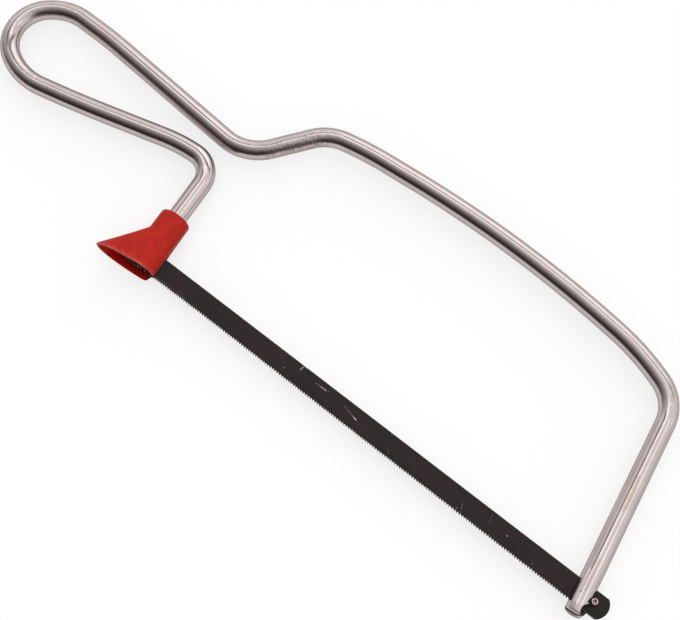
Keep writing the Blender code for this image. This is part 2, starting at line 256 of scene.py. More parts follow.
class EffectShelf:
    """Node groups of the shared effects, each built once.

    A step here is the two levels of a noise between which a tone or a mask goes from end to end.
    """

    GRAIN_DETAIL = 5.0
    GRAIN_ROUGHNESS = 0.6
    GRAIN_STEP = (0.30, 0.70)
    DRAWN_DETAIL = 3.0
    DRAWN_STEP = (0.32, 0.68)
    SCRATCH_CORE = 0.25
    SCRATCH_BREAKS = 2600.0
    SCRATCH_STEP = (0.36, 0.52)
    SPECK_CORE = 0.5
    WEAR_DETAIL = 3.0
    WEAR_STEP = (0.35, 0.65)
    WEAR_LEAST = 0.25

    def __init__(self) -> None:
        """Build every group from its recipe, its vector inputs and its value inputs."""
        place = ("Vector",)
        recipes = {
            Effect.GRAIN: (self._grain, place, ("Scale",)),
            Effect.DRAWN: (self._drawn, place, ("Across", "Along")),
            Effect.SCRATCH: (self._scratch, ("Vector", "Start", "End"), ("Width", "Broken")),
            Effect.SPECKS: (self._specks, place, ("Scale", "Size", "Amount")),
            Effect.WEAR: (self._wear, place, ("Edge", "Scale", "Amount")),
        }
        self.groups = {effect: self._group(effect, *recipe) for effect, recipe in recipes.items()}

    def place(self, sheet: NodeSheet, effect: Effect, **values: Feed) -> Sockets:
        """Outputs of an effect that is placed in a material, with its inputs by name."""
        node = sheet.add("ShaderNodeGroup", node_tree=self.groups[effect])
        return sheet.fill(node, **values).outputs

    @staticmethod
    def _group(
        effect: Effect, recipe: Recipe, vectors: Sequence[str], numbers: Sequence[str]
    ) -> bpy.types.NodeTree:
        """Build one group.

        Args:
            effect: the effect that it gives.
            recipe: adds its nodes and returns its outputs by name.
            vectors: names of the inputs that are vectors.
            numbers: names of the inputs that are numbers.

        Returns:
            The group.
        """
        tree = bpy.data.node_groups.new(effect.value, "ShaderNodeTree")
        for kind, names in (("NodeSocketVector", vectors), ("NodeSocketFloat", numbers)):
            for name in names:
                tree.interface.new_socket(name, in_out="INPUT", socket_type=kind)
        sheet = NodeSheet(tree)
        results = recipe(sheet, sheet.add("NodeGroupInput").outputs)
        for name in results:
            tree.interface.new_socket(name, in_out="OUTPUT", socket_type="NodeSocketFloat")
        sheet.fill(sheet.add("NodeGroupOutput"), **results)
        return tree

    def _grain(self, sheet: NodeSheet, given: Sockets) -> dict[str, Socket]:
        """Fine cloudy grain at one scale, as a tone and a height.

        Args:
            sheet: the group's nodes.
            given: its inputs.

        Returns:
            Its outputs.
        """
        cloud = sheet.noise(
            given["Vector"], given["Scale"], detail=self.GRAIN_DETAIL, roughness=self.GRAIN_ROUGHNESS
        )
        return {"Tone": sheet.step(cloud, *self.GRAIN_STEP), "Height": cloud}

    def _drawn(self, sheet: NodeSheet, given: Sockets) -> dict[str, Socket]:
        """Marks drawn out along the third axis of the vector, as a tone and a height.

        Args:
            sheet: the group's nodes.
            given: its inputs.

        Returns:
            Its outputs.
        """
        scale = sheet.add("ShaderNodeCombineXYZ")
        sheet.fill(scale, X=given["Across"], Y=given["Across"], Z=given["Along"])
        stretched = sheet.vector("MULTIPLY", given["Vector"], scale.outputs["Vector"])
        lines = sheet.noise(stretched, 1.0, detail=self.DRAWN_DETAIL)
        return {"Tone": sheet.step(lines, *self.DRAWN_STEP), "Height": lines}

    def _scratch(self, sheet: NodeSheet, given: Sockets) -> dict[str, Socket]:
        """One straight scratch between two points, broken up by a fine noise.

        Args:
            sheet: the group's nodes.
            given: its inputs.

        Returns:
            Its output.
        """
        away = sheet.vector("SUBTRACT", given["Vector"], given["Start"])
        run = sheet.vector("SUBTRACT", given["End"], given["Start"])
        along = sheet.vector("DOT_PRODUCT", away, run)
        share = sheet.math("DIVIDE", along, sheet.vector("DOT_PRODUCT", run, run), clamp=True)
        gap = sheet.vector("DISTANCE", away, sheet.vector("MULTIPLY", run, share))
        core = sheet.math("MULTIPLY", given["Width"], self.SCRATCH_CORE)
        line = sheet.step(gap, core, given["Width"], 1.0, 0.0)
        breaks = sheet.noise(given["Vector"], self.SCRATCH_BREAKS)
        missing = sheet.step(breaks, *self.SCRATCH_STEP, 1.0, 0.0)
        left = sheet.math("SUBTRACT", 1.0, sheet.math("MULTIPLY", missing, given["Broken"]))
        return {"Mask": sheet.math("MULTIPLY", line, left)}

    def _specks(self, sheet: NodeSheet, given: Sockets) -> dict[str, Socket]:
        """Small round specks of uneven strength, of which a share shows.

        Args:
            sheet: the group's nodes.
            given: its inputs.

        Returns:
            Its output.
        """
        cells = sheet.add("ShaderNodeTexVoronoi")
        sheet.fill(cells, Vector=given["Vector"], Scale=given["Scale"])
        core = sheet.math("MULTIPLY", given["Size"], self.SPECK_CORE)
        dots = sheet.step(cells.outputs["Distance"], core, given["Size"], 1.0, 0.0)
        chance = sheet.fill(sheet.add("ShaderNodeSeparateColor"), Color=cells.outputs["Color"])
        shown = sheet.math("LESS_THAN", chance.outputs["Red"], given["Amount"])
        return {"Mask": sheet.math("MULTIPLY", dots, chance.outputs["Green"], shown)}

    def _wear(self, sheet: NodeSheet, given: Sockets) -> dict[str, Socket]:
        """Uneven wear where the edge value is high.

        Args:
            sheet: the group's nodes.
            given: its inputs.

        Returns:
            Its output.
        """
        cloud = sheet.noise(given["Vector"], given["Scale"], detail=self.WEAR_DETAIL)
        uneven = sheet.step(cloud, *self.WEAR_STEP, self.WEAR_LEAST, 1.0)
        return {"Mask": sheet.math("MULTIPLY", given["Edge"], uneven, given["Amount"], clamp=True)}


@dataclass(frozen=True)
class DrawMarks:
    """Scale of marks that are drawn out: across them and along them."""

    across: float
    along: float


@dataclass(frozen=True)
class Specks:
    """Small round specks: their scale, the size of each in it, and the share that shows."""

    scale: float
    size: float
    amount: float


@dataclass(frozen=True)
class Wear:
    """Uneven wear: the scale of its patches and how strong it is."""

    scale: float
    amount: float


@dataclass(frozen=True)
class Relief:
    """Fine relief of a surface: how strong it looks and how high it stands."""

    strength: float
    height: float


@dataclass(frozen=True)
class Mark:
    """A straight mark on the upper side of a piece, in millimetres from the front pin."""

    start: Pair
    end: Pair
    width: float
    depth: float


@dataclass(frozen=True)
class PlacedMark:
    """A mark with its two ends set on the surface."""

    mark: Mark
    start: Vector
    end: Vector


class FinishSheet(NodeSheet):
    """Nodes of one Principled material."""

    def __init__(self, slot: Slot, shelf: EffectShelf) -> None:
        """Start a material, with its effects placed by the piece's own coordinates.

        Args:
            slot: the record's slot that it is named for.
            shelf: the shared effects.
        """
        self.material = bpy.data.materials.new(slot.value)
        self.material.use_nodes = True
        super().__init__(self.material.node_tree)
        self.shelf = shelf
        self.shader = self.tree.nodes["Principled BSDF"]
        self.spot = self.add("ShaderNodeTexCoord").outputs["Object"]
        self.place = self.spot

    def effect(self, effect: Effect, **values: Feed) -> Sockets:
        """Outputs of a shared effect that is placed here."""
        return self.shelf.place(self, effect, **{"Vector": self.place, **values})

    def grain(self, scale: float) -> Sockets:
        """Tone and height of a cloudy grain."""
        return self.effect(Effect.GRAIN, Scale=scale)

    def drawn(self, marks: DrawMarks) -> Sockets:
        """Tone and height of drawn-out marks."""
        return self.effect(Effect.DRAWN, Across=marks.across, Along=marks.along)

    def specks(self, dots: Specks) -> Socket:
        """Mask of small specks."""
        placed = self.effect(Effect.SPECKS, Scale=dots.scale, Size=dots.size, Amount=dots.amount)
        return placed["Mask"]

    def wear(self, edge: Socket, wear: Wear) -> Socket:
        """Mask of the wear where the edge value is high."""
        return self.effect(Effect.WEAR, Edge=edge, Scale=wear.scale, Amount=wear.amount)["Mask"]

    def marks(self, placed: Sequence[PlacedMark], broken: float = 1.0) -> Socket:
        """Mask of a number of marks, each as strong as its depth.

        Args:
            placed: the marks, at least one.
            broken: how far they are broken up, from 0 to 1.

        Returns:
            The mask.
        """
        lines = []
        for one in placed:
            ends = {"Start": one.start, "End": one.end}
            width = one.mark.width * MM
            line = self.effect(Effect.SCRATCH, Vector=self.spot, Width=width, Broken=broken, **ends)
            lines.append(self.math("MULTIPLY", line["Mask"], one.mark.depth))
        return self.math("MAXIMUM", *lines)

    def coats(self, colour: Feed, *layers: tuple[Socket, Feed]) -> Socket:
        """Colour with others laid over it.

        Args:
            colour: the lowest colour.
            layers: mask and colour of each coat, in the order that they go on.

        Returns:
            The colour that shows.
        """
        for mask, coat in layers:
            colour = self.mix(mask, colour, coat)
        return colour

    def bump(self, height: Socket, relief: Relief) -> None:
        """Feed a height through a Bump node into the shader's normal.

        Args:
            height: the height over the surface.
            relief: how strong it looks and how high it stands.
        """
        node = self.add("ShaderNodeBump")
        self.fill(node, Strength=relief.strength, Distance=relief.height, Height=height)
        self.dress(Normal=node.outputs["Normal"])

    def dress(self, **values: Feed) -> None:
        """Feed or set inputs of the shader, with _ for a space in a name."""
        self.fill(self.shader, **values)


@dataclass(frozen=True)
class RodPlating:
    """Bright plating over drawn rod: marks, streaks, pits, scuffs, a tool-worked patch, and painted
    reflections, highlight and slot shade.
    """

    bright: Colour = (0.520, 0.468, 0.458)
    tarnish: Colour = (0.425, 0.345, 0.322)
    pit: Colour = (0.230, 0.180, 0.170)
    # pale of the scuffs and rubbed bends, also used for the painted highlight on the front leg
    scuff_and_highlight: Colour = (0.760, 0.720, 0.700)
    sawn: Colour = (0.480, 0.430, 0.415)
    # painted shade: the walls of the blade slots are coloured near-black, for the shade in the narrow
    # slots
    slot_shade: Colour = (0.050, 0.036, 0.032)
    # painted reflection: the brown of the marks that stand in for warm reflections
    brown: Colour = (0.330, 0.240, 0.195)
    rim: Colour = (0.50, 0.46, 0.46)
    smooth: float = 0.075
    marked: float = 0.150
    scuffed: float = 0.34
    draw_marks: DrawMarks = DrawMarks(5200.0, 110.0)
    streaks: DrawMarks = DrawMarks(1700.0, 24.0)
    cloud_scale: float = 210.0
    tarnish_share: float = 0.30
    pits: Specks = Specks(900.0, 0.16, 0.12)
    pit_depth: float = -1.5
    rubs: DrawMarks = DrawMarks(1500.0, 620.0)
    rub_step: Pair = (0.55, 0.66)
    bend_wear: Wear = Wear(420.0, 0.55)
    brown_reflection_breaks: float = 0.25
    tool_scale: float = 1300.0
    tool_grey: float = 0.65
    tool_height: float = 75.0
    relief: Relief = Relief(0.35, 0.004 * MM)

    def material(
        self,
        shelf: EffectShelf,
        scuffs_and_highlight: Sequence[PlacedMark],
        dark_marks: Sequence[PlacedMark],
        brown_reflections: Sequence[PlacedMark],
        worked: Sequence[PlacedMark],
    ) -> bpy.types.Material:
        """Build the finish.

        Args:
            shelf: the shared effects.
            scuffs_and_highlight: pale marks: scuffs, and a painted highlight on the front leg.
            dark_marks: dark marks, and at the shoulder a painted dark reflection.
            brown_reflections: brown marks that paint warm reflections.
            worked: where the bending tool left the surface uneven.

        Returns:
            The material.
        """
        sheet = FinishSheet(Slot.PLATED_ROD, shelf)
        sheet.place = sheet.attribute("rod_coord", "Vector")
        bend, sawn, slot_shade = (sheet.attribute(name) for name in ("bend", "sawn", "slot_shade"))
        drawn = sheet.drawn(self.draw_marks)
        pits = sheet.specks(self.pits)
        cloud, streaks = sheet.grain(self.cloud_scale), sheet.drawn(self.streaks)
        tarnish = sheet.math("ADD", cloud["Tone"], streaks["Tone"])
        tarnish = sheet.math("MULTIPLY", tarnish, self.tarnish_share)
        rubbed = sheet.step(sheet.drawn(self.rubs)["Height"], *self.rub_step)
        rubbed = sheet.math("MULTIPLY", sheet.wear(bend, self.bend_wear), rubbed)
        scraped_and_highlight = sheet.marks(scuffs_and_highlight)
        tooling = sheet.grain(self.tool_scale)
        tooled = sheet.marks(worked, broken=0.0)
        grey = sheet.math("MULTIPLY", tooling["Tone"], tooled, self.tool_grey)
        colour = sheet.coats(
            self.bright,
            (tarnish, self.tarnish),
            (pits, self.pit),
            (grey, self.pit),
            (rubbed, self.scuff_and_highlight),
            # painted reflection: warm brown marks
            (sheet.marks(brown_reflections, self.brown_reflection_breaks), self.brown),
            # dark marks, and the painted dark band at the shoulder
            (sheet.marks(dark_marks), self.pit),
            # pale scuffs, and the painted highlight on the front leg
            (scraped_and_highlight, self.scuff_and_highlight),
            (sawn, self.sawn),
            # painted shade on the walls of the blade slots
            (slot_shade, self.slot_shade),
        )
        dull = sheet.math("MAXIMUM", rubbed, scraped_and_highlight, sawn, slot_shade)
        rough = sheet.spread(drawn["Tone"], self.smooth, self.marked)
        rough = sheet.math("MAXIMUM", rough, sheet.math("MULTIPLY", dull, self.scuffed))
        sheet.dress(Base_Color=colour, Roughness=rough, Metallic=1.0, Specular_Tint=self.rim)
        sunk = sheet.math("MULTIPLY", pits, self.pit_depth)
        waves = sheet.math("MULTIPLY", tooling["Height"], tooled, self.tool_height)
        sheet.bump(sheet.math("ADD", drawn["Height"], sunk, waves), self.relief)
        return sheet.material


@dataclass(frozen=True)
class BladeBlack:
    """Satin black over blade steel, with bright scratches, painted glints, faint specks and worn tooth
    tips.
    """

    black: Colour = (0.0100, 0.0088, 0.0086)
    warm: Colour = (0.0215, 0.0095, 0.0110)
    # bare steel of scratches, specks and worn tips, and the colour of the painted tooth glints
    steel: Colour = (0.620, 0.580, 0.560)
    roughness: Pair = (0.40, 0.54)
    gloss: float = 0.20
    cloud_scale: float = 95.0
    skin_scale: float = 2400.0
    specks: Specks = Specks(520.0, 0.14, 0.07)
    speck_share: float = 0.35
    tip_wear: Wear = Wear(700.0, 0.12)
    relief: Relief = Relief(0.25, 0.02 * MM)

    def material(self, shelf: EffectShelf, scratches_and_glints: Sequence[PlacedMark]) -> bpy.types.Material:
        """Build the finish.

        Args:
            shelf: the shared effects.
            scratches_and_glints: marks down to the bare steel, and painted glints on the teeth under the
                guard.

        Returns:
            The material.
        """
        sheet = FinishSheet(Slot.BLACK_BLADE, shelf)
        skin = sheet.grain(self.skin_scale)
        specked = sheet.math("MULTIPLY", sheet.specks(self.specks), self.speck_share)
        worn = sheet.wear(sheet.attribute("edge"), self.tip_wear)
        bare = sheet.math("ADD", specked, worn, clamp=True)
        bare = sheet.math("MAXIMUM", bare, sheet.marks(scratches_and_glints))
        cloud = sheet.grain(self.cloud_scale)["Tone"]
        colour = sheet.coats(self.black, (cloud, self.warm), (bare, self.steel))
        rough = sheet.spread(skin["Tone"], *self.roughness)
        sheet.dress(Base_Color=colour, Roughness=rough, Specular_IOR_Level=self.gloss)
        sheet.bump(skin["Height"], self.relief)
        return sheet.material


@dataclass(frozen=True)
class PinSteel:
    """Bright steel tube of the blade pins, with turned marks and its bore painted dark as shade."""

    bright: Colour = (0.710, 0.575, 0.510)
    dull: Colour = (0.330, 0.215, 0.180)
    # painted shade: the bore's colour is a near-black red-brown, for the shade in the hole
    bore: Colour = (0.110, 0.040, 0.032)
    roughness: Pair = (0.18, 0.34)
    grain_scale: float = 1900.0
    dull_share: float = 0.5
    turned: DrawMarks = DrawMarks(6000.0, 500.0)
    relief: Relief = Relief(0.30, 0.006 * MM)

    def material(self, shelf: EffectShelf) -> bpy.types.Material:
        """Build the finish.

        Args:
            shelf: the shared effects.

        Returns:
            The material.
        """
        sheet = FinishSheet(Slot.PIN_STEEL, shelf)
        turned = sheet.drawn(self.turned)
        dulled = sheet.math("MULTIPLY", sheet.grain(self.grain_scale)["Tone"], self.dull_share)
        inside = sheet.attribute("inside")
        # painted shade: the bore is coloured dark
        colour = sheet.coats(self.bright, (dulled, self.dull), (inside, self.bore))
        rough = sheet.spread(turned["Tone"], *self.roughness)
        sheet.dress(Base_Color=colour, Roughness=rough, Metallic=1.0)
        sheet.bump(turned["Height"], self.relief)
        return sheet.material


@dataclass(frozen=True)
class GuardRed:
    """Soft satin red moulding: faint mottle, a painted highlight on the lip and slot edge, a few pale
    specks and painted shade inside.
    """

    red: Colour = (0.505, 0.0220, 0.0120)
    deep: Colour = (0.385, 0.0160, 0.0100)
    # painted shade: inner is the darker red of the shaded inside, depth the near-black deeper in
    inner: Colour = (0.300, 0.0015, 0.0012)
    depth: Colour = (0.020, 0.0012, 0.0012)
    # pale: dust specks, and the painted highlight on the lip and the slot's edge
    pale: Colour = (0.640, 0.160, 0.130)
    roughness: Pair = (0.42, 0.55)
    inner_roughness: float = 0.85
    gloss: float = 0.10
    mottle_scale: float = 330.0
    inner_mottle: float = 0.3
    skin_scale: float = 3000.0
    dust: Specks = Specks(1500.0, 0.30, 0.45)
    dust_share: float = 0.55
    # painted highlight along the lip and the slot's upper edge
    lip_highlight: Wear = Wear(900.0, 1.2)
    relief: Relief = Relief(0.22, 0.04 * MM)

    def material(self, shelf: EffectShelf) -> bpy.types.Material:
        """Build the finish.

        Args:
            shelf: the shared effects.

        Returns:
            The material.
        """
        sheet = FinishSheet(Slot.RED_PLASTIC, shelf)
        lip, rub, inside, deep = (sheet.attribute(name) for name in ("lip", "rub", "inside", "deep"))
        mottle = sheet.grain(self.mottle_scale)
        skin = sheet.grain(self.skin_scale)
        inner_tone = sheet.math("MULTIPLY", mottle["Tone"], self.inner_mottle)
        # painted shade inside the mouth
        dark = sheet.coats(self.inner, (inner_tone, self.deep), (deep, self.depth))
        dusty = sheet.math("MULTIPLY", sheet.specks(self.dust), rub, self.dust_share)
        # painted highlight on the edges, and dust specks
        pale = sheet.math("MAXIMUM", sheet.wear(lip, self.lip_highlight), dusty)
        colour = sheet.coats(self.red, (mottle["Tone"], self.deep), (inside, dark), (pale, self.pale))
        rough = sheet.spread(skin["Tone"], *self.roughness)
        inner_rough = sheet.math("MULTIPLY", inside, self.inner_roughness)
        rough = sheet.math("MAXIMUM", rough, inner_rough)
        sheet.dress(Base_Color=colour, Roughness=rough, Specular_IOR_Level=self.gloss)
        sheet.bump(sheet.math("ADD", skin["Height"], mottle["Height"]), self.relief)
        return sheet.material


@dataclass(frozen=True)
class Leg:
    """A straight leg of the rod beside a blade pin.

    Attributes:
        pin: the pin's place in the saw's plane.
        lean: how far the foot leans forward.
        offset: from the pin forward to the leg's axis.
    """

    pin: Vector
    lean: float
    offset: float

    @property
    def down(self) -> Vector:
        """Way down the leg, towards the teeth."""
        return Vector((math.sin(self.lean), -math.cos(self.lean), 0.0))

    @property
    def ahead(self) -> Vector:
        """Way forward, square to the leg."""
        return Vector((math.cos(self.lean), math.sin(self.lean), 0.0))

    @property
    def seat(self) -> Vector:
        """Point of the leg's axis beside the pin."""
        return self.pin + self.ahead * self.offset

    def at_drop(self, drop: float) -> Vector:
        """Point of the axis this far below the pin's level."""
        return self.seat + self.down * drop

    def matrix(self) -> Matrix:
        """Frame of the leg: X ahead, Y up the leg, Z out of the saw's plane, at the seat."""
        return Matrix.Translation(self.seat) @ Matrix.Rotation(self.lean, 4, "Z")


@dataclass(frozen=True)
class SawLayout:
    """Sizes that the pieces share, measured from the front blade pin."""

    origin: Vector
    pin_span: float = 150.0 * MM
    pin_radius: float = 0.85 * MM
    tail_drop: float = 0.40 * MM
    rod_radius: float = 2.7 * MM
    blade_half: float = 3.1 * MM
    seat_radius: float = 1.3 * MM
    kerf_width: float = 1.2 * MM
    blade_reach: float = 4.1 * MM
    kerf_room: float = 0.7 * MM
    front_lean: float = math.radians(11.0)
    rear_lean: float = math.radians(6.2)
    front_seat_depth: float = 0.8 * MM
    rear_seat_depth: float = 0.25 * MM

    @classmethod
    def from_frame(cls) -> "SawLayout":
        """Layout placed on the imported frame's front pin."""
        low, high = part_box("front_blade_pin")
        return cls((low + high) / 2)

    def at(self, x: float, y: float) -> Vector:
        """Point in the saw's plane, from millimetres off the front pin."""
        return self.origin + Vector((x * MM, y * MM, 0.0))

    @property
    def rear_pin(self) -> Vector:
        """Place of the rear blade pin."""
        return self.origin - Vector((self.pin_span, 0.0, 0.0))

    @property
    def rear_hole(self) -> Vector:
        """Place of the blade's rear hole, which the blade's bow drops a little."""
        return self.rear_pin - Vector((0.0, self.tail_drop, 0.0))

    @property
    def front_leg(self) -> Leg:
        """Leg that the front pin hooks over."""
        offset = self.rod_radius + self.seat_radius - self.front_seat_depth
        return Leg(self.origin, self.front_lean, -offset)

    @property
    def rear_leg(self) -> Leg:
        """Leg that the rear pin hooks over."""
        offset = self.rod_radius + self.seat_radius - self.rear_seat_depth
        return Leg(self.rear_pin, self.rear_lean, offset)


def scene_object(name: str, data: bpy.types.ID) -> bpy.types.Object:
    """Put a mesh, lamp or camera into the scene.

    Args:
        name: the object's name.
        data: what it shows.

    Returns:
        The new object.
    """
    obj = bpy.data.objects.new(name, data)
    bpy.context.scene.collection.objects.link(obj)
    return obj


def mesh_object(name: str, bm: bmesh.types.BMesh) -> Piece:
    """Turn a bmesh into an object of the scene.

    Args:
        name: the object's name.
        bm: the bmesh, which is freed.

    Returns:
        The new object.
    """
    bmesh.ops.recalc_face_normals(bm, faces=bm.faces[:])
    mesh = bpy.data.meshes.new(name)
    bm.to_mesh(mesh)
    bm.free()
    return scene_object(name, mesh)


def clamp(value: float) -> float:
    """Value kept between 0 and 1."""
    return min(1.0, max(0.0, value))


def ease(value: float, low: float, high: float) -> float:
    """Smooth step from 0 at the low value to 1 at the high one."""
    share = clamp((value - low) / (high - low))
    return share * share * (3 - 2 * share)


def arc(whole: float, steps: int, shift: float = 0.0) -> list[float]:
    """Angles from 0 to the whole of an arc in even steps, each moved on by a part of a step."""
    return [whole * (step + shift) / steps for step in range(steps + 1)]


def leftward(way: Vector) -> Vector:
    """Vector as long as this one, a quarter turn to its left in the saw's plane."""
    return Vector((-way.y, way.x, 0.0))


def run_at(points: Sequence[Vector], index: int) -> Vector:
    """Run from the point before this one in a line to the point after it."""
    return points[min(index + 1, len(points) - 1)] - points[max(index - 1, 0)]


def store(mesh: bpy.types.Mesh, name: str, values: Iterable[float], domain: str = "POINT") -> None:
    """Keep one number for each vertex, or for each of another domain, as a mesh attribute."""
    mesh.attributes.new(name, "FLOAT", domain).data.foreach_set("value", list(values))


def box_cutter(low: Vector, high: Vector, place: Matrix) -> Piece:
    """Box between two corners of a placed frame, to cut with.

    Args:
        low: lowest corner.
        high: highest corner.
        place: the frame that the corners are in.

    Returns:
        The cutter.
    """
    bm = bmesh.new()
    size = Matrix.Diagonal((*(high - low), 1.0))
    middle = Matrix.Translation((low + high) / 2)
    bmesh.ops.create_cube(bm, size=1.0, matrix=place @ middle @ size)
    return mesh_object("cutter", bm)


def round_cutter(centre: Vector, radius: float, length: float) -> Piece:
    """Round cutter across the saw's plane.

    Args:
        centre: its middle.
        radius: its radius.
        length: how long it is.

    Returns:
        The cutter.
    """
    bm = bmesh.new()
    sizes = {"radius1": radius, "radius2": radius, "depth": length}
    place = Matrix.Translation(centre)
    bmesh.ops.create_cone(bm, cap_ends=True, segments=CUTTER_SIDES, matrix=place, **sizes)
    return mesh_object("cutter", bm)


def cut(obj: Piece, cutters: Sequence[Piece]) -> None:
    """Cut pieces out of an object, and throw the cutters away.

    Args:
        obj: the object to cut.
        cutters: what to cut out of it.
    """
    for cutter in cutters:
        modifier = obj.modifiers.new("cut", "BOOLEAN")
        modifier.operation = "DIFFERENCE"
        modifier.solver = "EXACT"
        modifier.object = cutter
    bpy.context.view_layer.update()
    evaluated = obj.evaluated_get(bpy.context.evaluated_depsgraph_get())
    whole = obj.data
    obj.data = bpy.data.meshes.new_from_object(evaluated)
    obj.modifiers.clear()
    bpy.data.meshes.remove(whole)
    for cutter in cutters:
        bpy.data.objects.remove(cutter, do_unlink=True)


def loft(bm: bmesh.types.BMesh, rings: Sequence[Sequence[bmesh.types.BMVert]], closed: bool) -> None:
    """Skin a row of rings with quads.

    Args:
        bm: the bmesh that holds the rings.
        rings: rings of as many vertices each.
        closed: join the last ring to the first.
    """
    following = list(rings[1:]) + ([rings[0]] if closed else [])
    for ring, after in zip(rings, following):
        for index in range(len(ring)):
            other = (index + 1) % len(ring)
            bm.faces.new((ring[index], ring[other], after[other], after[index]))


def finish_piece(
    obj: Piece, body: Body, node: str, material: bpy.types.Material, sharp: float = 35.0
) -> None:
    """Smooth a piece, give it its material and hand it to the frame.

    Args:
        obj: the piece.
        body: the CAD body that it rides on.
        node: the CAD node that it stands for.
        material: its finish.
        sharp: edges sharper than this many degrees stay sharp.
    """
    obj.data.shade_smooth()
    obj.data.set_sharp_from_angle(angle=math.radians(sharp))
    obj.data.materials.clear()
    obj.data.materials.append(material)
    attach(obj, body.value)
    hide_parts(node)
    LOG.info("%s: %d faces, rides on %s", obj.name, len(obj.data.polygons), body.value)


@dataclass
class SubAssembly(ABC):
    """A part of the saw that is built and dressed as a whole, on the shared layout."""

    layout: SawLayout

    @abstractmethod
    def build(self) -> list[Piece]:
        """Build its meshes."""

    @abstractmethod
    def dress(self, pieces: Sequence[Piece], shelf: EffectShelf) -> None:
        """Give its pieces their finish and hand them to the frame."""


@dataclass(frozen=True)
class Bend:
    """A corner of the rod, in millimetres from the front pin, and its radius."""

    x: float
    y: float
    radius: float


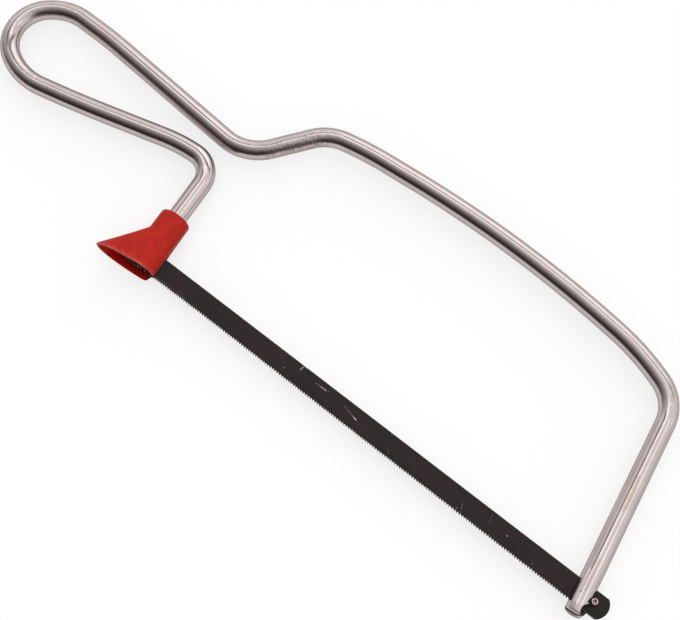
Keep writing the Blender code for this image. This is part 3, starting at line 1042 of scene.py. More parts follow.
@dataclass
class BentRod(SubAssembly):
    """The frame: one rod bent into legs, handle loop, saddle and spine, slotted at both ends.

    A drop is down a leg from its pin's level. A bend is tight below tight_bend, in millimetres. The
    walls of the slots are the faces nearer than slot_band to the saw's plane that lie as flat as
    slot_flat, and what is deeper in the rod than sawn_inset was sawn.
    """

    heel_drop: float = 2.2 * MM
    scoop_drop: float = 3.2 * MM
    scoop_radius: float = 2.3 * MM
    toe_drop: float = 4.62 * MM
    toe_tilt: float = 0.075
    toe_rear_ease: float = 0.36 * MM
    toe_front_ease: float = 1.6 * MM
    toe_front_start: float = 1.5 * MM
    end_round: float = 0.30 * MM
    end_steps: int = 4
    sides: int = 72
    arc_error: float = 0.003 * MM
    fewest_arc_steps: int = 3
    straight_step: float = 3.0 * MM
    tight_bend: float = 20.0
    sawn_inset: float = 0.15 * MM
    slot_band: float = 0.72 * MM
    slot_flat: float = 0.95
    scuffs_and_highlight: tuple[Mark, ...] = (
        Mark((-130.93, 58.43), (-129.51, 58.41), 0.20, 0.85),
        Mark((-128.64, 59.50), (-127.41, 59.72), 0.20, 0.75),
        Mark((-176.77, 25.82), (-176.38, 25.79), 0.20, 0.60),
        # painted highlight: this pale strip on the front leg stands in for its white highlight line
        Mark((-5.60, 5.60), (-3.66, -2.90), 0.70, 0.80),
    )
    dark_marks: tuple[Mark, ...] = (
        # painted reflection: these four dark marks at the shoulder carry the dark reflected band further
        Mark((-132.10, 53.75), (-131.00, 54.20), 0.45, 0.70),
        Mark((-136.20, 52.60), (-135.20, 53.30), 0.45, 0.55),
        Mark((-134.40, 54.00), (-133.50, 54.60), 0.40, 0.50),
        Mark((-133.20, 55.20), (-132.30, 55.50), 0.40, 0.50),
        Mark((-130.80, 58.75), (-129.60, 58.75), 0.22, 0.60),
        Mark((-128.50, 59.85), (-127.50, 60.05), 0.22, 0.55),
        Mark((-211.10, 18.20), (-209.10, 17.80), 0.35, 0.85),
    )
    # painted reflections: brown marks on the loop and the front leg that stand in for warm brown
    # reflections
    brown_reflections: tuple[Mark, ...] = (
        Mark((-219.40, 35.30), (-218.30, 36.50), 1.10, 0.45),
        Mark((-219.30, 29.60), (-218.40, 27.90), 0.90, 0.50),
        Mark((-5.30, 9.20), (-3.60, 0.60), 0.55, 0.50),
        Mark((-4.55, 4.60), (-3.30, -1.60), 0.40, 0.45),
        Mark((-9.80, 32.40), (-7.90, 22.80), 0.50, 0.45),
        Mark((-8.60, 29.80), (-7.40, 23.60), 0.35, 0.35),
    )
    worked: tuple[Mark, ...] = (
        Mark((-140.40, 43.60), (-131.40, 54.60), 3.00, 1.00),
        Mark((-143.10, 43.28), (-133.39, 56.03), 1.10, 0.35),
    )
    bends: tuple[Bend, ...] = (
        Bend(-149.677, 31.746, 7.6),
        Bend(-161.44, 31.11, 50.9),
        Bend(-193.37, 22.26, 385.0),
        Bend(-210.14, 18.58, 18.7),
        Bend(-228.05, 29.16, 11.3),
        Bend(-213.77, 43.26, 16.0),
        Bend(-197.59, 43.24, 121.0),
        Bend(-145.44, 39.42, 13.4),
        Bend(-131.61, 58.70, 12.7),
        Bend(-120.55, 61.17, 100.0),
        Bend(-72.55, 65.48, 333.0),
        Bend(-28.57, 60.76, 72.6),
        Bend(-14.007, 55.288, 12.5),
    )

    def centre_line(self) -> tuple[list[Vector], list[float]]:
        """Points along the rod's axis, from the heel to the toe.

        Returns:
            The points, and for each one 1 where the rod is bent tightly and 0 elsewhere.
        """
        start = self.layout.rear_leg.at_drop(self.heel_drop)
        end = self.layout.front_leg.at_drop(self.toe_drop)
        corners = [start] + [self.layout.at(bend.x, bend.y) for bend in self.bends] + [end]
        runs = [(b - a).length for a, b in zip(corners, corners[1:])]
        headings = [(b - a).normalized() for a, b in zip(corners, corners[1:])]
        turns = [math.atan2(a.cross(b).z, a.dot(b)) for a, b in zip(headings, headings[1:])]
        radii = [bend.radius * MM for bend in self.bends]
        tangents = [radius * math.tan(abs(turn) / 2) for radius, turn in zip(radii, turns)]
        reaches = [0.0] + tangents + [0.0]
        shares = [min(1.0, run / (a + b)) for run, a, b in zip(runs, reaches, reaches[1:])]
        points, tight = [start], [0.0]
        for index, bend in enumerate(self.bends):
            share = min(shares[index], shares[index + 1])
            radius = radii[index] * share
            side = math.copysign(1.0, turns[index])
            bend_start = corners[index + 1] - headings[index] * tangents[index] * share
            centre = bend_start + leftward(headings[index]) * side * radius
            self._straight(points, tight, bend_start)
            widest_step = 2 * math.acos(1 - self.arc_error / radius)
            steps = max(self.fewest_arc_steps, math.ceil(abs(turns[index]) / widest_step))
            for angle in arc(turns[index], steps)[1:]:
                points.append(centre + Matrix.Rotation(angle, 3, "Z") @ (bend_start - centre))
                tight.append(1.0 if bend.radius < self.tight_bend else 0.0)
        self._straight(points, tight, end)
        return points, tight

    def _straight(self, points: list[Vector], tight: list[float], end: Vector) -> None:
        """Carry the centre line on straight to a point, in even steps.

        Args:
            points: the centre line so far.
            tight: 1 for each of its points in a tight bend.
            end: the point to reach.
        """
        begin = points[-1]
        steps = math.ceil((end - begin).length / self.straight_step - HAIR)
        for step in range(1, steps + 1):
            points.append(begin.lerp(end, step / steps))
            tight.append(0.0)

    def stations(self, points: Sequence[Vector]) -> list[tuple[Vector, float]]:
        """Rings of the rod, with both ends eased.

        Args:
            points: the centre line.

        Returns:
            Place and radius of each ring, from the heel to the toe.
        """
        radius = self.layout.rod_radius
        ends = []
        for near, tip in ((points[1], points[0]), (points[-2], points[-1])):
            back = (near - tip).normalized() * self.end_round
            eased = []
            for angle in arc(QUARTER_TURN, self.end_steps):
                inset = self.end_round * (1 - math.cos(angle))
                eased.append((tip + back * (1 - math.sin(angle)), radius - inset))
            ends.append(eased)
        heel, toe = ends
        return heel[::-1] + [(point, radius) for point in points[1:-1]] + toe

    def sweep(self, points: Sequence[Vector]) -> Piece:
        """Sweep the rod's round along its centre line.

        Args:
            points: the centre line.

        Returns:
            The plain bent rod.
        """
        stations = self.stations(points)
        places = [place for place, _ in stations]
        toe = self.layout.front_leg
        toe_start = len(stations) - self.end_steps - 1
        bm = bmesh.new()
        rings = []
        for index, (place, size) in enumerate(stations):
            side = leftward(run_at(places, index)).normalized()
            ring = []
            for angle in arc(FULL_TURN, self.sides)[:-1]:
                across = side * size * math.cos(angle) + Vector((0.0, 0.0, size * math.sin(angle)))
                if index >= toe_start:
                    across -= toe.down * self.toe_inset(across.dot(toe.ahead), across.z)
                ring.append(bm.verts.new(place + across))
            rings.append(ring)
        loft(bm, rings, closed=False)
        for ring in (rings[0], rings[-1]):
            middle = bm.verts.new((ring[self.sides // 4].co + ring[3 * self.sides // 4].co) / 2)
            for index, vert in enumerate(ring):
                bm.faces.new((vert, ring[(index + 1) % self.sides], middle))
        return mesh_object("bent_rod", bm)

    def toe_inset(self, ahead: float, up: float) -> float:
        """How far the toe's end stands back.

        Args:
            ahead: how far ahead of the leg's axis.
            up: how far above it.

        Returns:
            The distance up the leg.
        """
        radius = self.layout.rod_radius
        rear = max(0.0, -ahead) / radius
        front = max(0.0, ahead - self.toe_front_start) / (radius - self.toe_front_start)
        eased = self.toe_rear_ease * rear * rear + self.toe_front_ease * front * front
        return self.toe_tilt * up + eased

    def slot_ends(self, rod: Piece) -> None:
        """Saw the blade slots into both ends, and cut the pin seats and the near prong's scoop.

        Args:
            rod: the plain bent rod.
        """
        layout = self.layout
        reach = layout.rod_radius * 2
        kerf_half = layout.kerf_width / 2
        kerf_top = layout.blade_reach + layout.kerf_room
        cutters = []
        for leg, drop in ((layout.front_leg, self.toe_drop), (layout.rear_leg, self.heel_drop)):
            low = Vector((-reach, -drop - reach, -kerf_half))
            high = Vector((reach, kerf_top, kerf_half))
            cutters.append(box_cutter(low, high, leg.matrix()))
            cutters.append(round_cutter(leg.pin, layout.seat_radius, 2 * reach))
        leg = layout.front_leg
        scoop = leg.at_drop(self.scoop_drop) - leg.ahead * leg.offset
        scoop.z += reach - kerf_half
        cutters.append(round_cutter(scoop, self.scoop_radius, 2 * reach))
        cut(rod, cutters)

    def unbend(self, rod: Piece, points: Sequence[Vector], tight: Sequence[float]) -> None:
        """Store each vertex's place on the rod as if it were straight, and where it is bent or sawn.

        Args:
            rod: the finished mesh.
            points: the centre line.
            tight: 1 for each point in a tight bend.
        """
        travelled = [0.0]
        for a, b in zip(points, points[1:]):
            travelled.append(travelled[-1] + (b - a).length)
        tree = KDTree(len(points))
        for index, point in enumerate(points):
            tree.insert(point, index)
        tree.balance()
        coords, bent, sawn = [], [], []
        for vertex in rod.data.vertices:
            _, index, _ = tree.find(vertex.co)
            ahead = run_at(points, index).normalized()
            away = vertex.co - points[index]
            across = away.dot(leftward(ahead))
            coords += [across, away.z, travelled[index] + away.dot(ahead)]
            bent.append(tight[index])
            inset = self.layout.rod_radius - math.hypot(across, away.z)
            sawn.append(1.0 if inset > self.sawn_inset else 0.0)
        attribute = rod.data.attributes.new("rod_coord", "FLOAT_VECTOR", "POINT")
        attribute.data.foreach_set("vector", coords)
        store(rod.data, "bend", bent)
        store(rod.data, "sawn", sawn)

    def shade_slots(self, rod: Piece) -> None:
        """Store which faces are the walls of the blade slots, which the plating paints near-black as
        painted shade.

        Args:
            rod: the finished mesh.
        """
        walls = []
        for face in rod.data.polygons:
            in_slot = abs(face.center.z - self.layout.origin.z) < self.slot_band
            walls.append(1.0 if in_slot and abs(face.normal.z) > self.slot_flat else 0.0)
        store(rod.data, "slot_shade", walls, "FACE")

    def on_top(self, marks: Iterable[Mark], points: Sequence[Vector]) -> list[PlacedMark]:
        """Set marks on the upper side of the rod.

        Args:
            marks: the marks.
            points: the centre line.

        Returns:
            The marks with their ends on the rod's round surface.
        """
        placed = []
        for mark in marks:
            ends = []
            for x, y in (mark.start, mark.end):
                spot = self.layout.at(x, y)
                off = min(self._gap(spot, *run) for run in zip(points, points[1:]))
                spot.z += math.sqrt(max(0.0, self.layout.rod_radius ** 2 - off ** 2))
                ends.append(spot)
            placed.append(PlacedMark(mark, *ends))
        return placed

    @staticmethod
    def _gap(spot: Vector, start: Vector, end: Vector) -> float:
        """Distance from a spot to a straight run.

        Args:
            spot: the spot.
            start: where the run starts.
            end: where it ends.

        Returns:
            The distance.
        """
        run = end - start
        share = clamp((spot - start).dot(run) / run.length_squared)
        return (spot - start - run * share).length

    def build(self) -> list[Piece]:
        """Build the rod.

        Returns:
            The one piece.
        """
        points, tight = self.centre_line()
        rod = self.sweep(points)
        self.slot_ends(rod)
        self.unbend(rod, points, tight)
        self.shade_slots(rod)
        return [rod]

    def dress(self, pieces: Sequence[Piece], shelf: EffectShelf) -> None:
        """Plate the rod, with its marks, painted highlight and painted reflections where they show on
        the real one.

        Args:
            pieces: the one piece.
            shelf: the shared effects.
        """
        points, _ = self.centre_line()
        kinds = (self.scuffs_and_highlight, self.dark_marks, self.brown_reflections, self.worked)
        material = RodPlating().material(shelf, *(self.on_top(kind, points) for kind in kinds))
        finish_piece(pieces[0], Body.FRAME, "bent_rod_frame", material)


@dataclass
class SawBlade(SubAssembly):
    """Pin-ended blade: a thin strip with round ends, two pin holes and fine wavy-set teeth.

    The set starts set_line above the gullets, and goes from side to side in waves of set_wave. The
    tail is bowed from bow_start on, and its teeth are left unworn, black as painted shade, as far as the
    guard covers them.
    """

    thickness: float = 0.6 * MM
    end_radius: float = 3.8 * MM
    pitch: float = 25.4 / 32 * MM  # 32 teeth to the inch
    tooth_reach: float = 3.22 * MM
    depth: float = 0.52 * MM
    gullet: float = 0.12 * MM
    bow_start: float = 112.0 * MM
    tooth_start: float = 2.5 * MM
    # painted shade: the teeth this far from the rear pin get no pale wear, so they stay black as the
    # shade under the guard
    shaded_tail: float = 8.0 * MM
    set_line: float = 1.0 * MM
    set_out: float = 0.11 * MM
    set_wave: float = 6.35 * MM
    end_points: int = 40
    hole_points: int = 48
    snap: float = 1e-8
    sharp: float = 20.0
    scratches_and_glints: tuple[Mark, ...] = (
        Mark((-94.64, 1.31), (-94.40, 2.98), 0.16, 0.80),
        Mark((-94.23, 2.77), (-93.63, 2.69), 0.15, 0.75),
        Mark((-95.21, 2.78), (-94.64, 3.07), 0.12, 0.30),
        Mark((-89.15, 1.10), (-87.60, 1.10), 0.12, 0.30),
        Mark((-87.60, 1.10), (-85.84, 1.09), 0.17, 0.70),
        Mark((-85.22, 1.31), (-85.07, 1.29), 0.12, 0.30),
        Mark((-79.60, 0.83), (-77.10, 0.27), 0.12, 0.28),
        Mark((-77.10, 0.27), (-75.80, 0.00), 0.14, 0.60),
        Mark((-75.80, 0.00), (-74.95, -0.18), 0.18, 1.00),
        Mark((-65.37, 2.52), (-65.22, 2.50), 0.15, 0.30),
        Mark((-64.04, -1.17), (-62.78, -2.07), 0.11, 0.12),
        Mark((-40.44, -0.37), (-39.23, -2.77), 0.13, 0.20),
        Mark((-40.93, -2.26), (-40.79, -2.28), 0.18, 0.45),
        Mark((-32.74, 1.99), (-32.04, -0.96), 0.12, 0.10),
        Mark((-26.70, 0.02), (-26.58, 0.02), 0.20, 0.75),
        Mark((-21.05, 1.75), (-20.90, 1.75), 0.14, 0.25),
        # painted highlight: these three marks paint glints on the teeth under the guard
        Mark((-146.95, -3.40), (-146.45, -3.52), 0.34, 1.00),
        Mark((-145.70, -3.40), (-145.30, -3.50), 0.34, 1.00),
        Mark((-144.50, -3.38), (-144.15, -3.46), 0.30, 1.00),
    )

    @property
    def root(self) -> float:
        """Level of the gullets between the teeth, from the pins' line."""
        return self.depth - self.tooth_reach

    def outline(self) -> list[Pair]:
        """Corners of the blade from its front pin: round ends, back edge and the row of teeth.

        Returns:
            The corners in order.
        """
        half, span = self.layout.blade_half, self.layout.pin_span
        centre = self.layout.blade_reach - self.end_radius
        widest = math.asin(half / self.end_radius)
        angles = [widest * (1 - 2 * index / self.end_points) for index in range(self.end_points + 1)]
        front = [(centre + self.end_radius * math.cos(a), self.end_radius * math.sin(a)) for a in angles]
        rear = [(-span - x, -y) for x, y in front]
        count = int((span - 2 * self.tooth_start) / self.pitch)
        first = -(span - count * self.pitch) / 2
        teeth = [(first, -half)]
        for index in range(count):
            face = first - index * self.pitch
            teeth.append((face, self.root))
            teeth.append((face - self.gullet / 2, -self.tooth_reach))
            teeth.append((face - self.pitch + self.gullet, self.root))
        teeth.append((first - count * self.pitch, -half))
        return front + teeth + rear

    def hole(self, centre_x: float) -> list[Pair]:
        """Corners round a pin hole."""
        radius, angles = self.layout.pin_radius, arc(FULL_TURN, self.hole_points)[:-1]
        return [(centre_x + radius * math.cos(a), radius * math.sin(a)) for a in angles]

    def blank(self) -> bmesh.types.BMesh:
        """Fill the outline and give it its thickness.

        Returns:
            The flat blade, with its front pin at the origin.
        """
        bm = bmesh.new()
        edges = []
        for corners in (self.outline(), self.hole(0.0), self.hole(-self.layout.pin_span)):
            verts = [bm.verts.new((x, y, -self.thickness / 2)) for x, y in corners]
            edges += [bm.edges.new((a, b)) for a, b in zip(verts, verts[1:] + verts[:1])]
        bmesh.ops.triangle_fill(bm, use_beauty=True, use_dissolve=False, edges=edges)
        for level in (self.root, self.root + self.set_line):
            geometry = bm.verts[:] + bm.edges[:] + bm.faces[:]
            plane = {"plane_co": (0, level, 0), "plane_no": (0, 1, 0)}
            bmesh.ops.bisect_plane(bm, geom=geometry, dist=self.snap, **plane)
        risen = bmesh.ops.extrude_face_region(bm, geom=bm.faces[:])["geom"]
        top = [item for item in risen if isinstance(item, bmesh.types.BMVert)]
        bmesh.ops.translate(bm, verts=top, vec=(0.0, 0.0, self.thickness))
        return bm

    def set_teeth(self, bm: bmesh.types.BMesh) -> None:
        """Set the teeth to either side in waves, and bow the tail down.

        Args:
            bm: the flat blade.
        """
        span = self.layout.pin_span
        set_height = self.depth + self.set_line
        for vert in bm.verts:
            share = max(0.0, (self.root + self.set_line - vert.co.y) / set_height)
            if -span < vert.co.x < 0.0:
                vert.co.z += self.set_out * share * math.sin(FULL_TURN * vert.co.x / self.set_wave)
            bowed = max(0.0, -vert.co.x - self.bow_start) / (span - self.bow_start)
            vert.co.y -= self.layout.tail_drop * bowed * bowed

    def build(self) -> list[Piece]:
        """Build the blade.

        Returns:
            The one piece.
        """
        bm = self.blank()
        self.set_teeth(bm)
        bmesh.ops.translate(bm, verts=bm.verts[:], vec=self.layout.origin)
        blade = mesh_object("toothed_blade", bm)
        root = self.layout.origin.y - self.tooth_reach + self.depth
        shaded_tail_end = self.layout.rear_pin.x + self.shaded_tail
        worn = []
        for vertex in blade.data.vertices:
            edge = clamp((root - vertex.co.y) / self.depth)
            # painted shade: no wear where the guard shades the teeth
            worn.append(edge if vertex.co.x > shaded_tail_end else 0.0)
        store(blade.data, "edge", worn)
        return [blade]

    def dress(self, pieces: Sequence[Piece], shelf: EffectShelf) -> None:
        """Blacken the blade, with its scratches and painted glints where they show on the real one.

        Args:
            pieces: the one piece.
            shelf: the shared effects.
        """
        face = Vector((0.0, 0.0, self.thickness / 2))
        scratches_and_glints = []
        for mark in self.scratches_and_glints:
            start, end = self.layout.at(*mark.start), self.layout.at(*mark.end)
            scratches_and_glints.append(PlacedMark(mark, start + face, end + face))
        material = BladeBlack().material(shelf, scratches_and_glints)
        finish_piece(pieces[0], Body.BLADE, "saw_blade", material, self.sharp)


@dataclass
class BladePins(SubAssembly):
    """Two short tubes through the blade's holes, rounded over at their ends."""

    bore: float = 0.48 * MM
    bore_edge: float = 0.06 * MM
    length: float = 4.8 * MM
    outer_round: float = 0.20 * MM
    inner_round: float = 0.12 * MM
    sides: int = 64
    round_steps: int = 5

    def profile(self) -> list[Pair]:
        """Section of the tube's wall, round its four corners.

        Returns:
            Radius and height of each point.
        """
        half, outside = self.length / 2, self.layout.pin_radius
        corners = (
            (outside - self.outer_round, half - self.outer_round, self.outer_round),
            (self.bore + self.inner_round, half - self.inner_round, self.inner_round),
            (self.bore + self.inner_round, self.inner_round - half, self.inner_round),
            (outside - self.outer_round, self.outer_round - half, self.outer_round),
        )
        section = []
        for quarter, (reach, height, rounding) in enumerate(corners):
            for turn in arc(QUARTER_TURN, self.round_steps):
                angle = quarter * QUARTER_TURN + turn
                section.append((reach + rounding * math.cos(angle), height + rounding * math.sin(angle)))
        return section

    def tube(self, name: str, centre: Vector) -> Piece:
        """Turn one pin.

        Args:
            name: the piece's name.
            centre: its middle.

        Returns:
            The pin.
        """
        bm = bmesh.new()
        rings = []
        for reach, height in self.profile():
            ring = []
            for angle in arc(FULL_TURN, self.sides)[:-1]:
                away = Vector((reach * math.cos(angle), reach * math.sin(angle), height))
                ring.append(bm.verts.new(centre + away))
            rings.append(ring)
        loft(bm, rings, closed=True)
        pin = mesh_object(name, bm)
        reaches = ((vertex.co - centre).xy.length for vertex in pin.data.vertices)
        # painted shade: the inside attribute marks the bore, which the pin's finish colours dark
        store(pin.data, "inside", (float(reach < self.bore + self.bore_edge) for reach in reaches))
        return pin

    def build(self) -> list[Piece]:
        """Build both pins, the front one first."""
        places = {"front_pin_tube": self.layout.origin, "rear_pin_tube": self.layout.rear_hole}
        return [self.tube(name, centre) for name, centre in places.items()]

    def dress(self, pieces: Sequence[Piece], shelf: EffectShelf) -> None:
        """Give both pins their bright steel.

        Args:
            pieces: the front pin and the rear pin.
            shelf: the shared effects.
        """
        material = PinSteel().material(shelf)
        for pin, node in zip(pieces, ("front_blade_pin", "rear_blade_pin")):
            finish_piece(pin, Body.BLADE, node, material)


@dataclass(frozen=True)
class Oval:
    """Section across the guard: how far it reaches to the front, to each side and to the rear."""

    front: float
    side: float
    rear: float

    @classmethod
    def circle(cls, radius: float) -> "Oval":
        """Round section."""
        return cls(radius, radius, radius)

    def between(self, other: "Oval", share: float) -> "Oval":
        """Oval part of the way to another one."""
        pairs = ((self.front, other.front), (self.side, other.side), (self.rear, other.rear))
        return Oval(*(a + (b - a) * share for a, b in pairs))


@dataclass
class FingerGuard(SubAssembly):
    """Moulded sleeve on the rear leg that flares back to an oval mouth over the blade's tail.

    A height is given as a drop down the leg from the rear pin's level, and a turn is in degrees from
    the front, below 0 on the far side.
    """

    bore: float = 2.9 * MM
    tube: float = 4.35 * MM
    draft: float = 0.05 * MM
    foot_share: float = 0.9
    rim_round: float = 0.9 * MM
    top: float = -13.3 * MM
    flare: float = -6.9 * MM
    inner_flare: float = -8.0 * MM
    mouth: float = 4.6 * MM
    lip_round: float = 0.30 * MM
    lip_band: float = 0.36 * MM
    corner_round: float = 0.3 * MM
    outer_mouth: Oval = Oval(4.6 * MM, 4.7 * MM, 14.05 * MM)
    inner_mouth: Oval = Oval(3.7 * MM, 3.8 * MM, 12.95 * MM)
    slot_clear: float = 0.3 * MM
    notch_rise: float = 1.2 * MM
    notch_turn: Pair = (-64.0, -49.0)
    # painted shade in the notch of the far rim
    notch_shade: float = 0.8
    front_rise: float = 0.7 * MM
    front_rise_start: float = 1.2 * MM
    mouth_tilt: float = 0.095
    inner_edge: float = 0.50 * MM
    notch_edge: float = 0.75 * MM
    slot_edge: float = 0.2 * MM
    # painted shade: where the inside and its deep part are darkened
    dark_depth: Pair = (0.6 * MM, 2.4 * MM)
    dark_front: Pair = (-9.0 * MM, -3.0 * MM)
    dark_rear: Pair = (-12.6 * MM, -9.6 * MM)
    rub_spot: Pair = (2.7 * MM, 3.9 * MM)
    rub_reach: float = 2.3 * MM
    sides: int = 144
    rim_steps: int = 8
    corner_steps: int = 4
    wall_steps: int = 12
    lip_steps: int = 12

    @property
    def wide_tube(self) -> Oval:
        """Section of the sleeve where the flare starts."""
        return Oval.circle(self.tube + self.draft)

    @property
    def lip_start(self) -> float:
        """Drop where the wall ends and the lip's round starts."""
        return self.mouth - self.lip_round

    def outer(self, drop: float) -> Oval:
        """Outer section of the flare at a drop."""
        share = (drop - self.flare) / (self.mouth - self.flare)
        return self.wide_tube.between(self.outer_mouth, share)

    def inner(self, drop: float) -> Oval:
        """Inner section of the flare at a drop."""
        share = (drop - self.inner_flare) / (self.mouth - self.inner_flare)
        return Oval.circle(self.bore).between(self.inner_mouth, share)

    def stations(self) -> list[tuple[float, Oval]]:
        """Drop and section of the rings down the outside, over the lip and up the inside."""
        return self._sleeve() + self._wall() + self._lip() + self._inside()

    def _sleeve(self) -> list[tuple[float, Oval]]:
        """Rings of the sleeve, from its rounded rim to the soft corner where the flare starts.

        Returns:
            Drop and section of each ring.
        """
        rings = []
        for angle in arc(QUARTER_TURN, self.rim_steps):
            drop = self.top + self.rim_round * (1 - math.cos(angle))
            rings.append((drop, Oval.circle(self.tube - self.rim_round * (1 - math.sin(angle)))))
        corner_start = self.flare - self.corner_round
        foot = Oval.circle(self.tube).between(self.wide_tube, self.foot_share)
        rings.append((corner_start, foot))
        corner_end = self.outer(self.flare + self.corner_round)
        for step in range(1, self.corner_steps + 1):
            share = step / self.corner_steps
            first = foot.between(self.wide_tube, share)
            second = self.wide_tube.between(corner_end, share)
            rings.append((corner_start + 2 * self.corner_round * share, first.between(second, share)))
        return rings

    def _wall(self) -> list[tuple[float, Oval]]:
        """Rings down the outside of the flare.

        Returns:
            Drop and section of each ring.
        """
        start = self.flare + self.corner_round
        steps = range(1, self.wall_steps + 1)
        drops = [start + (self.lip_start - start) * step / self.wall_steps for step in steps]
        return [(drop, self.outer(drop)) for drop in drops]

    def _lip(self) -> list[tuple[float, Oval]]:
        """Rings over the lip, which is flat between two rounds.

        Returns:
            Drop and section of each ring.
        """
        outer, inner = self.outer(self.lip_start), self.inner(self.lip_start)
        flat = 1 - 2 * self.lip_round / (outer.side - inner.side)
        middle = self.lip_steps // 2
        rings = []
        for step, angle in enumerate(arc(HALF_TURN, self.lip_steps)[1:], start=1):
            passed = 0.5 if step == middle else float(step > middle)
            share = (1 - math.cos(angle)) / 2 * (1 - flat) + flat * passed
            drop = self.lip_start + self.lip_round * math.sin(angle)
            rings.append((drop, outer.between(inner, share)))
        return rings

    def _inside(self) -> list[tuple[float, Oval]]:
        """Rings up the inside of the flare to the top of the bore.

        Returns:
            Drop and section of each ring.
        """
        reach = self.lip_start - self.inner_flare
        steps = reversed(range(self.wall_steps))
        drops = [self.inner_flare + reach * step / self.wall_steps for step in steps]
        return [(drop, self.inner(drop)) for drop in drops] + [(self.top, Oval.circle(self.bore))]

    def rim_rise(self, x: float, z: float) -> float:
        """How far the mouth's rim is above its plane: in front, to the upper side and at the notch.

        Args:
            x: how far ahead of the leg's axis.
            z: how far above it.

        Returns:
            The rise, which the tilt takes below 0 on the far side.
        """
        forward = max(0.0, x - self.front_rise_start) / (self.outer_mouth.front - self.front_rise_start)
        turn = min(0.0, math.degrees(math.atan2(z, x)))
        fade = min(1.0, turn / self.notch_turn[1])
        notch = self.notch_rise * ease(turn, *self.notch_turn) * fade
        return self.front_rise * forward * forward + self.mouth_tilt * z + notch

    def shell(self) -> Piece:
        """Loft the guard's wall.

        Returns:
            The guard without its slot.
        """
        bm = bmesh.new()
        place = self.layout.rear_leg.matrix()
        rings = []
        for drop, oval in self.stations():
            ring = []
            for angle in arc(FULL_TURN, self.sides, shift=0.5)[:-1]:
                reach = oval.front if math.cos(angle) > 0 else oval.rear
                local = Vector((reach * math.cos(angle), -drop, oval.side * math.sin(angle)))
                local.y += self.rim_rise(local.x, local.z) * max(0.0, drop) / self.mouth
                ring.append(bm.verts.new(place @ local))
            rings.append(ring)
        loft(bm, rings, closed=True)
        return mesh_object("guard_moulding", bm)

    def slit(self, guard: Piece) -> None:
        """Cut the slot for the blade into the front wall, open at the mouth.

        Args:
            guard: the guard without its slot.
        """
        layout = self.layout
        leg = layout.rear_leg
        rise = (layout.blade_half - (leg.seat.y - layout.origin.y)) / math.cos(leg.lean)
        low = Vector((0.0, -self.mouth * 2, -layout.kerf_width / 2))
        high = Vector((self.outer_mouth.front * 2, rise + self.slot_clear, layout.kerf_width / 2))
        cut(guard, [box_cutter(low, high, leg.matrix())])

    def is_inside(self, spot: Vector) -> bool:
        """Tell whether a point of the wall is on its inner side.

        Args:
            spot: the point, in the leg's frame.

        Returns:
            True on the inner side.
        """
        oval = self.inner(max(-spot.y, self.inner_flare))
        reach = oval.front if spot.x > 0 else oval.rear
        ratio = math.hypot(spot.x / reach, spot.z / oval.side)
        edge = self.notch_edge if spot.x > 0 > spot.z else self.inner_edge
        return math.hypot(spot.x, spot.z) * (1 - 1 / ratio) < edge

    def edge_highlight(self, spot: Vector) -> float:
        """How strongly an edge gets its painted highlight: the slot's upper edge, and the outer lip but
        for its far front.

        Args:
            spot: the point, in the leg's frame.

        Returns:
            From 0 to 1.
        """
        above_slot = spot.z - self.layout.kerf_width / 2
        if spot.x > 0.0 and -HAIR < above_slot < self.slot_edge:
            return 1.0
        if self.is_inside(spot) or spot.x > 0.0 > spot.z:
            return 0.0
        rim = self.mouth - self.rim_rise(spot.x, spot.z)
        return clamp((-spot.y - (rim - self.lip_band)) / self.lip_round)

    def rubbing(self, spot: Vector) -> float:
        """How far the near side is rubbed dusty round one spot.

        Args:
            spot: the point, in the leg's frame.

        Returns:
            From 0 to 1.
        """
        x, y = self.rub_spot
        gap = math.hypot(spot.x - x, spot.y - y) / self.rub_reach
        return max(0.0, 1.0 - gap * gap) if spot.z > 0 else 0.0

    def inner_shade(self, spot: Vector) -> float:
        """How dark the painted shade inside is: deep in towards the leg, and in the notch of the far
        rim.

        Args:
            spot: the point, in the leg's frame.

        Returns:
            From 0 to 1.
        """
        rim = self.mouth - self.rim_rise(spot.x, spot.z)
        sunk = ease(rim + spot.y, *self.dark_depth) * ease(spot.x, *self.dark_front)
        turn = math.degrees(math.atan2(spot.z, spot.x))
        notched = ease(turn, *self.notch_turn) if turn < 0.0 else 0.0
        return max(sunk, self.notch_shade * notched)

    def mark(self, guard: Piece) -> None:
        """Store where the edges get a painted highlight, the moulding is dusty, and the inside gets
        painted shade, dim or dark.

        Args:
            guard: the finished mesh.
        """
        local = self.layout.rear_leg.matrix().inverted()
        spots = [local @ vertex.co for vertex in guard.data.vertices]
        # painted shade: the share of shade on the inner wall, fading out towards the rear
        inside = [ease(spot.x, *self.dark_rear) if self.is_inside(spot) else 0.0 for spot in spots]
        # painted highlight on the lip and the slot's edge
        store(guard.data, "lip", map(self.edge_highlight, spots))
        store(guard.data, "rub", map(self.rubbing, spots))
        store(guard.data, "inside", inside)
        # painted shade: deep darkens the inside further
        store(guard.data, "deep", (self.inner_shade(spot) * dim for spot, dim in zip(spots, inside)))

    def build(self) -> list[Piece]:
        """Build the guard.

        Returns:
            The one piece.
        """
        guard = self.shell()
        self.slit(guard)
        self.mark(guard)
        return [guard]

    def dress(self, pieces: Sequence[Piece], shelf: EffectShelf) -> None:
        """Give the guard its red moulding."""
        material = GuardRed().material(shelf)
        finish_piece(pieces[0], Body.GUARD, "finger_guard", material)


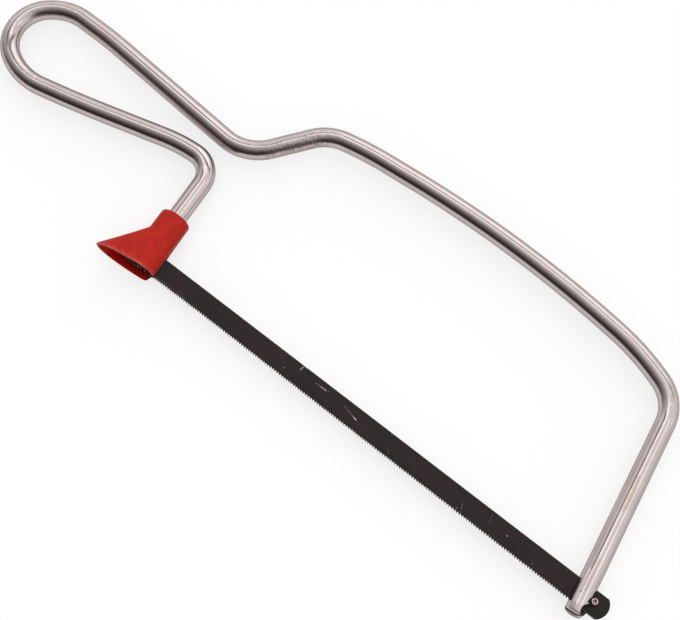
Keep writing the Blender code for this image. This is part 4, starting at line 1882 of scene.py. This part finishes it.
@dataclass(frozen=True)
class SoftBox:
    """A soft round patch of the surrounding light.

    Attributes:
        way: towards its middle.
        half_width: from its middle to its edge, in degrees.
        lift: how much it adds, or below 0 takes away.
        core: share of the half width that has the whole lift.
    """

    way: Way
    half_width: float
    lift: float
    core: float = 0.3

    def glow(self, sheet: NodeSheet, ray: Socket) -> Socket:
        """What it adds in the way of a ray.

        Args:
            sheet: the world's nodes.
            ray: the ray's way.

        Returns:
            The light that it adds.
        """
        facing = sheet.vector("DOT_PRODUCT", ray, self.way)
        outer = math.cos(math.radians(self.half_width))
        inner = math.cos(math.radians(self.core * self.half_width))
        return sheet.step(facing, outer, inner, 0.0, self.lift)


@dataclass(frozen=True)
class DarkGap:
    """A straight dark gap between the soft boxes overhead.

    Attributes:
        across: level way across it.
        along: level way along it.
        slope: slope of its middle, across it.
        half_width: from its middle to its edge, as a slope.
        core: share of the half width that is wholly dark.
        start: slopes along it between which it begins.
        end: slopes along it between which it ends.
        depth: share of the light that it takes.
        lowest: least height that a slope is worked out with.
    """

    across: Way = (-0.629, 0.777, 0.0)
    along: Way = (0.777, 0.629, 0.0)
    slope: float = 0.66
    half_width: float = 0.16
    core: float = 0.4
    start: Pair = (-0.85, -0.50)
    end: Pair = (1.20, 2.00)
    depth: float = 0.88
    lowest: float = 0.05

    def light_left(self, sheet: NodeSheet, ray: Socket, height: Socket) -> Socket:
        """Share of the light that it leaves in the way of a ray.

        Args:
            sheet: the world's nodes.
            ray: the ray's way.
            height: how far up the ray goes.

        Returns:
            The share, from 0 to 1.
        """
        height = sheet.math("MAXIMUM", height, self.lowest)
        slope = sheet.math("DIVIDE", sheet.vector("DOT_PRODUCT", ray, self.across), height)
        run = sheet.math("DIVIDE", sheet.vector("DOT_PRODUCT", ray, self.along), height)
        off = sheet.math("ABSOLUTE", sheet.math("SUBTRACT", slope, self.slope))
        line = sheet.step(off, self.core * self.half_width, self.half_width, self.depth, 0.0)
        begun = sheet.step(run, *self.start)
        going = sheet.step(run, *self.end, 1.0, 0.0)
        return sheet.math("SUBTRACT", 1.0, sheet.math("MULTIPLY", line, begun, going))


@dataclass
class Studio:
    """Pale floor, soft surrounding light with a dim side towards the teeth, and the camera."""

    floor_drop: float = 0.03 * MM
    floor_size: float = 20.0
    floor_pale: Colour = (0.30, 0.30, 0.30)
    floor_glow: Colour = (1.0, 1.0, 1.0)
    floor_lift: float = 0.69
    floor_rough: float = 0.9
    camera_place: Way = (0.10821, -0.12757, 0.41018)
    camera_aim: Way = (0.01290, -0.00968, 0.00469)
    lens: float = 87.2
    sensor: float = 36.0
    nearest: float = 10.0 * MM
    dim_way: Way = (-0.051, -0.998, 0.0)
    dim_colour: Colour = (0.048, 0.030, 0.034)
    dim_gain: float = 0.84
    dim_power: float = 1.76
    brightest: float = 1.16
    boxes: tuple[SoftBox, ...] = (
        SoftBox((-0.378, 0.277, 0.883), 17.0, 0.75),
        SoftBox((-0.116, 0.808, 0.578), 26.0, 0.75),
        SoftBox((0.434, 0.352, 0.829), 9.0, 0.75),
        SoftBox((-0.140, 0.510, 0.850), 12.0, 0.75),
    )
    shade: SoftBox = SoftBox((0.663, -0.557, 0.500), 32.0, -0.68)
    gap: DarkGap = DarkGap()
    low_dim: float = 0.20
    low_gain: float = 0.38
    low_edge: Pair = (0.04, 0.24)
    fill_way: Way = (0.15, -0.70, 0.70)
    fill_strength: float = 1.15
    fill_angle: float = 90.0

    def floor(self) -> None:
        """Lay the floor: white from above, with the saw's shadow on it, and clear from below."""
        half = self.floor_size / 2
        sides = ((-half, -half), (half, -half), (half, half), (-half, half))
        mesh = bpy.data.meshes.new("studio_floor")
        mesh.from_pydata([(x, y, -self.floor_drop) for x, y in sides], [], [(0, 1, 2, 3)])
        material = bpy.data.materials.new("studio_floor")
        material.use_nodes = True
        sheet = NodeSheet(material.node_tree)
        shader = sheet.tree.nodes["Principled BSDF"]
        rays = sheet.add("ShaderNodeLightPath").outputs
        kinds = ("Is Camera Ray", "Is Glossy Ray", "Is Transmission Ray")
        seen = sheet.math("MAXIMUM", *(rays[kind] for kind in kinds))
        lift = sheet.math("MULTIPLY", seen, self.floor_lift)
        sheet.fill(shader, Base_Color=self.floor_pale, Roughness=self.floor_rough)
        sheet.fill(shader, Specular_IOR_Level=0.0)
        sheet.fill(shader, Emission_Color=self.floor_glow, Emission_Strength=lift)
        clear = sheet.add("ShaderNodeMixShader")
        sheet.feed(clear.inputs[0], sheet.add("ShaderNodeNewGeometry").outputs["Backfacing"])
        sheet.feed(clear.inputs[1], shader.outputs["BSDF"])
        sheet.feed(clear.inputs[2], sheet.add("ShaderNodeBsdfTransparent").outputs["BSDF"])
        sheet.fill(sheet.tree.nodes["Material Output"], Surface=clear.outputs[0])
        mesh.materials.append(material)
        scene_object("studio_floor", mesh)

    def light(self) -> None:
        """Surround the saw with soft light.

        It is dim towards the teeth and low down. Soft boxes, a shaded patch and a dark gap give the
        rod its reflections.
        """
        world = bpy.data.worlds.new("studio_light")
        bpy.context.scene.world = world
        world.use_nodes = True
        sheet = NodeSheet(world.node_tree)
        ray = sheet.add("ShaderNodeTexCoord").outputs["Generated"]
        height = sheet.fill(sheet.add("ShaderNodeSeparateXYZ"), Vector=ray).outputs["Z"]
        away = sheet.math("SUBTRACT", 1.0, sheet.vector("DOT_PRODUCT", ray, self.dim_way))
        level = sheet.math("MULTIPLY", sheet.math("POWER", away, self.dim_power), self.dim_gain)
        level = sheet.math("MINIMUM", level, self.brightest)
        level = sheet.math("ADD", level, *(box.glow(sheet, ray) for box in self.boxes))
        shaded = sheet.math("ADD", self.shade.glow(sheet, ray), 1.0)
        level = sheet.math("MULTIPLY", level, shaded, self.gap.light_left(sheet, ray, height))
        above = sheet.step(height, *self.low_edge)
        below = sheet.math("SUBTRACT", 1.0, above)
        low = sheet.math("ADD", sheet.math("MULTIPLY", away, self.low_gain), self.low_dim)
        low = sheet.math("MULTIPLY", low, below)
        level = sheet.math("ADD", sheet.math("MULTIPLY", level, above), low)
        glow = sheet.add("ShaderNodeCombineColor")
        for socket, dim in zip(glow.inputs, self.dim_colour):
            sheet.feed(socket, sheet.math("ADD", level, dim))
        sheet.fill(sheet.tree.nodes["Background"], Color=glow.outputs["Color"], Strength=1.0)

    def fill_light(self) -> None:
        """Add a broad soft lamp from the side of the teeth, which the metal doesn't mirror."""
        lamp = bpy.data.lights.new("fill_light", "SUN")
        lamp.energy = self.fill_strength
        lamp.angle = math.radians(self.fill_angle)
        fill = scene_object("fill_light", lamp)
        fill.rotation_euler = Vector(self.fill_way).to_track_quat("Z", "Y").to_euler()
        fill.visible_glossy = False

    def camera(self) -> None:
        """Set the camera at the photograph's viewing angle."""
        data = bpy.data.cameras.new("camera")
        data.sensor_width = self.sensor
        data.sensor_fit = "HORIZONTAL"
        data.lens = self.lens
        data.clip_start = self.nearest
        camera = scene_object("camera", data)
        camera.location = self.camera_place
        aim = Vector(self.camera_aim) - Vector(self.camera_place)
        camera.rotation_euler = aim.to_track_quat("-Z", "Y").to_euler()
        bpy.context.scene.camera = camera

    def build(self) -> None:
        """Set up floor, light and camera."""
        self.floor()
        self.light()
        self.fill_light()
        self.camera()
        bpy.context.scene.view_settings.view_transform = "Standard"
        LOG.info("studio: floor, light and camera")


def main() -> None:
    """Dress the saw piece by piece and set it in the studio."""
    logging.basicConfig(level=logging.INFO, format="%(message)s")
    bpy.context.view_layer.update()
    layout = SawLayout.from_frame()
    shelf = EffectShelf()
    for assembly in (BentRod(layout), SawBlade(layout), BladePins(layout), FingerGuard(layout)):
        pieces = assembly.build()
        assembly.dress(pieces, shelf)
        LOG.info("%s: %s", type(assembly).__name__, ", ".join(piece.name for piece in pieces))
    Studio().build()


if __name__ == "__main__":
    main()
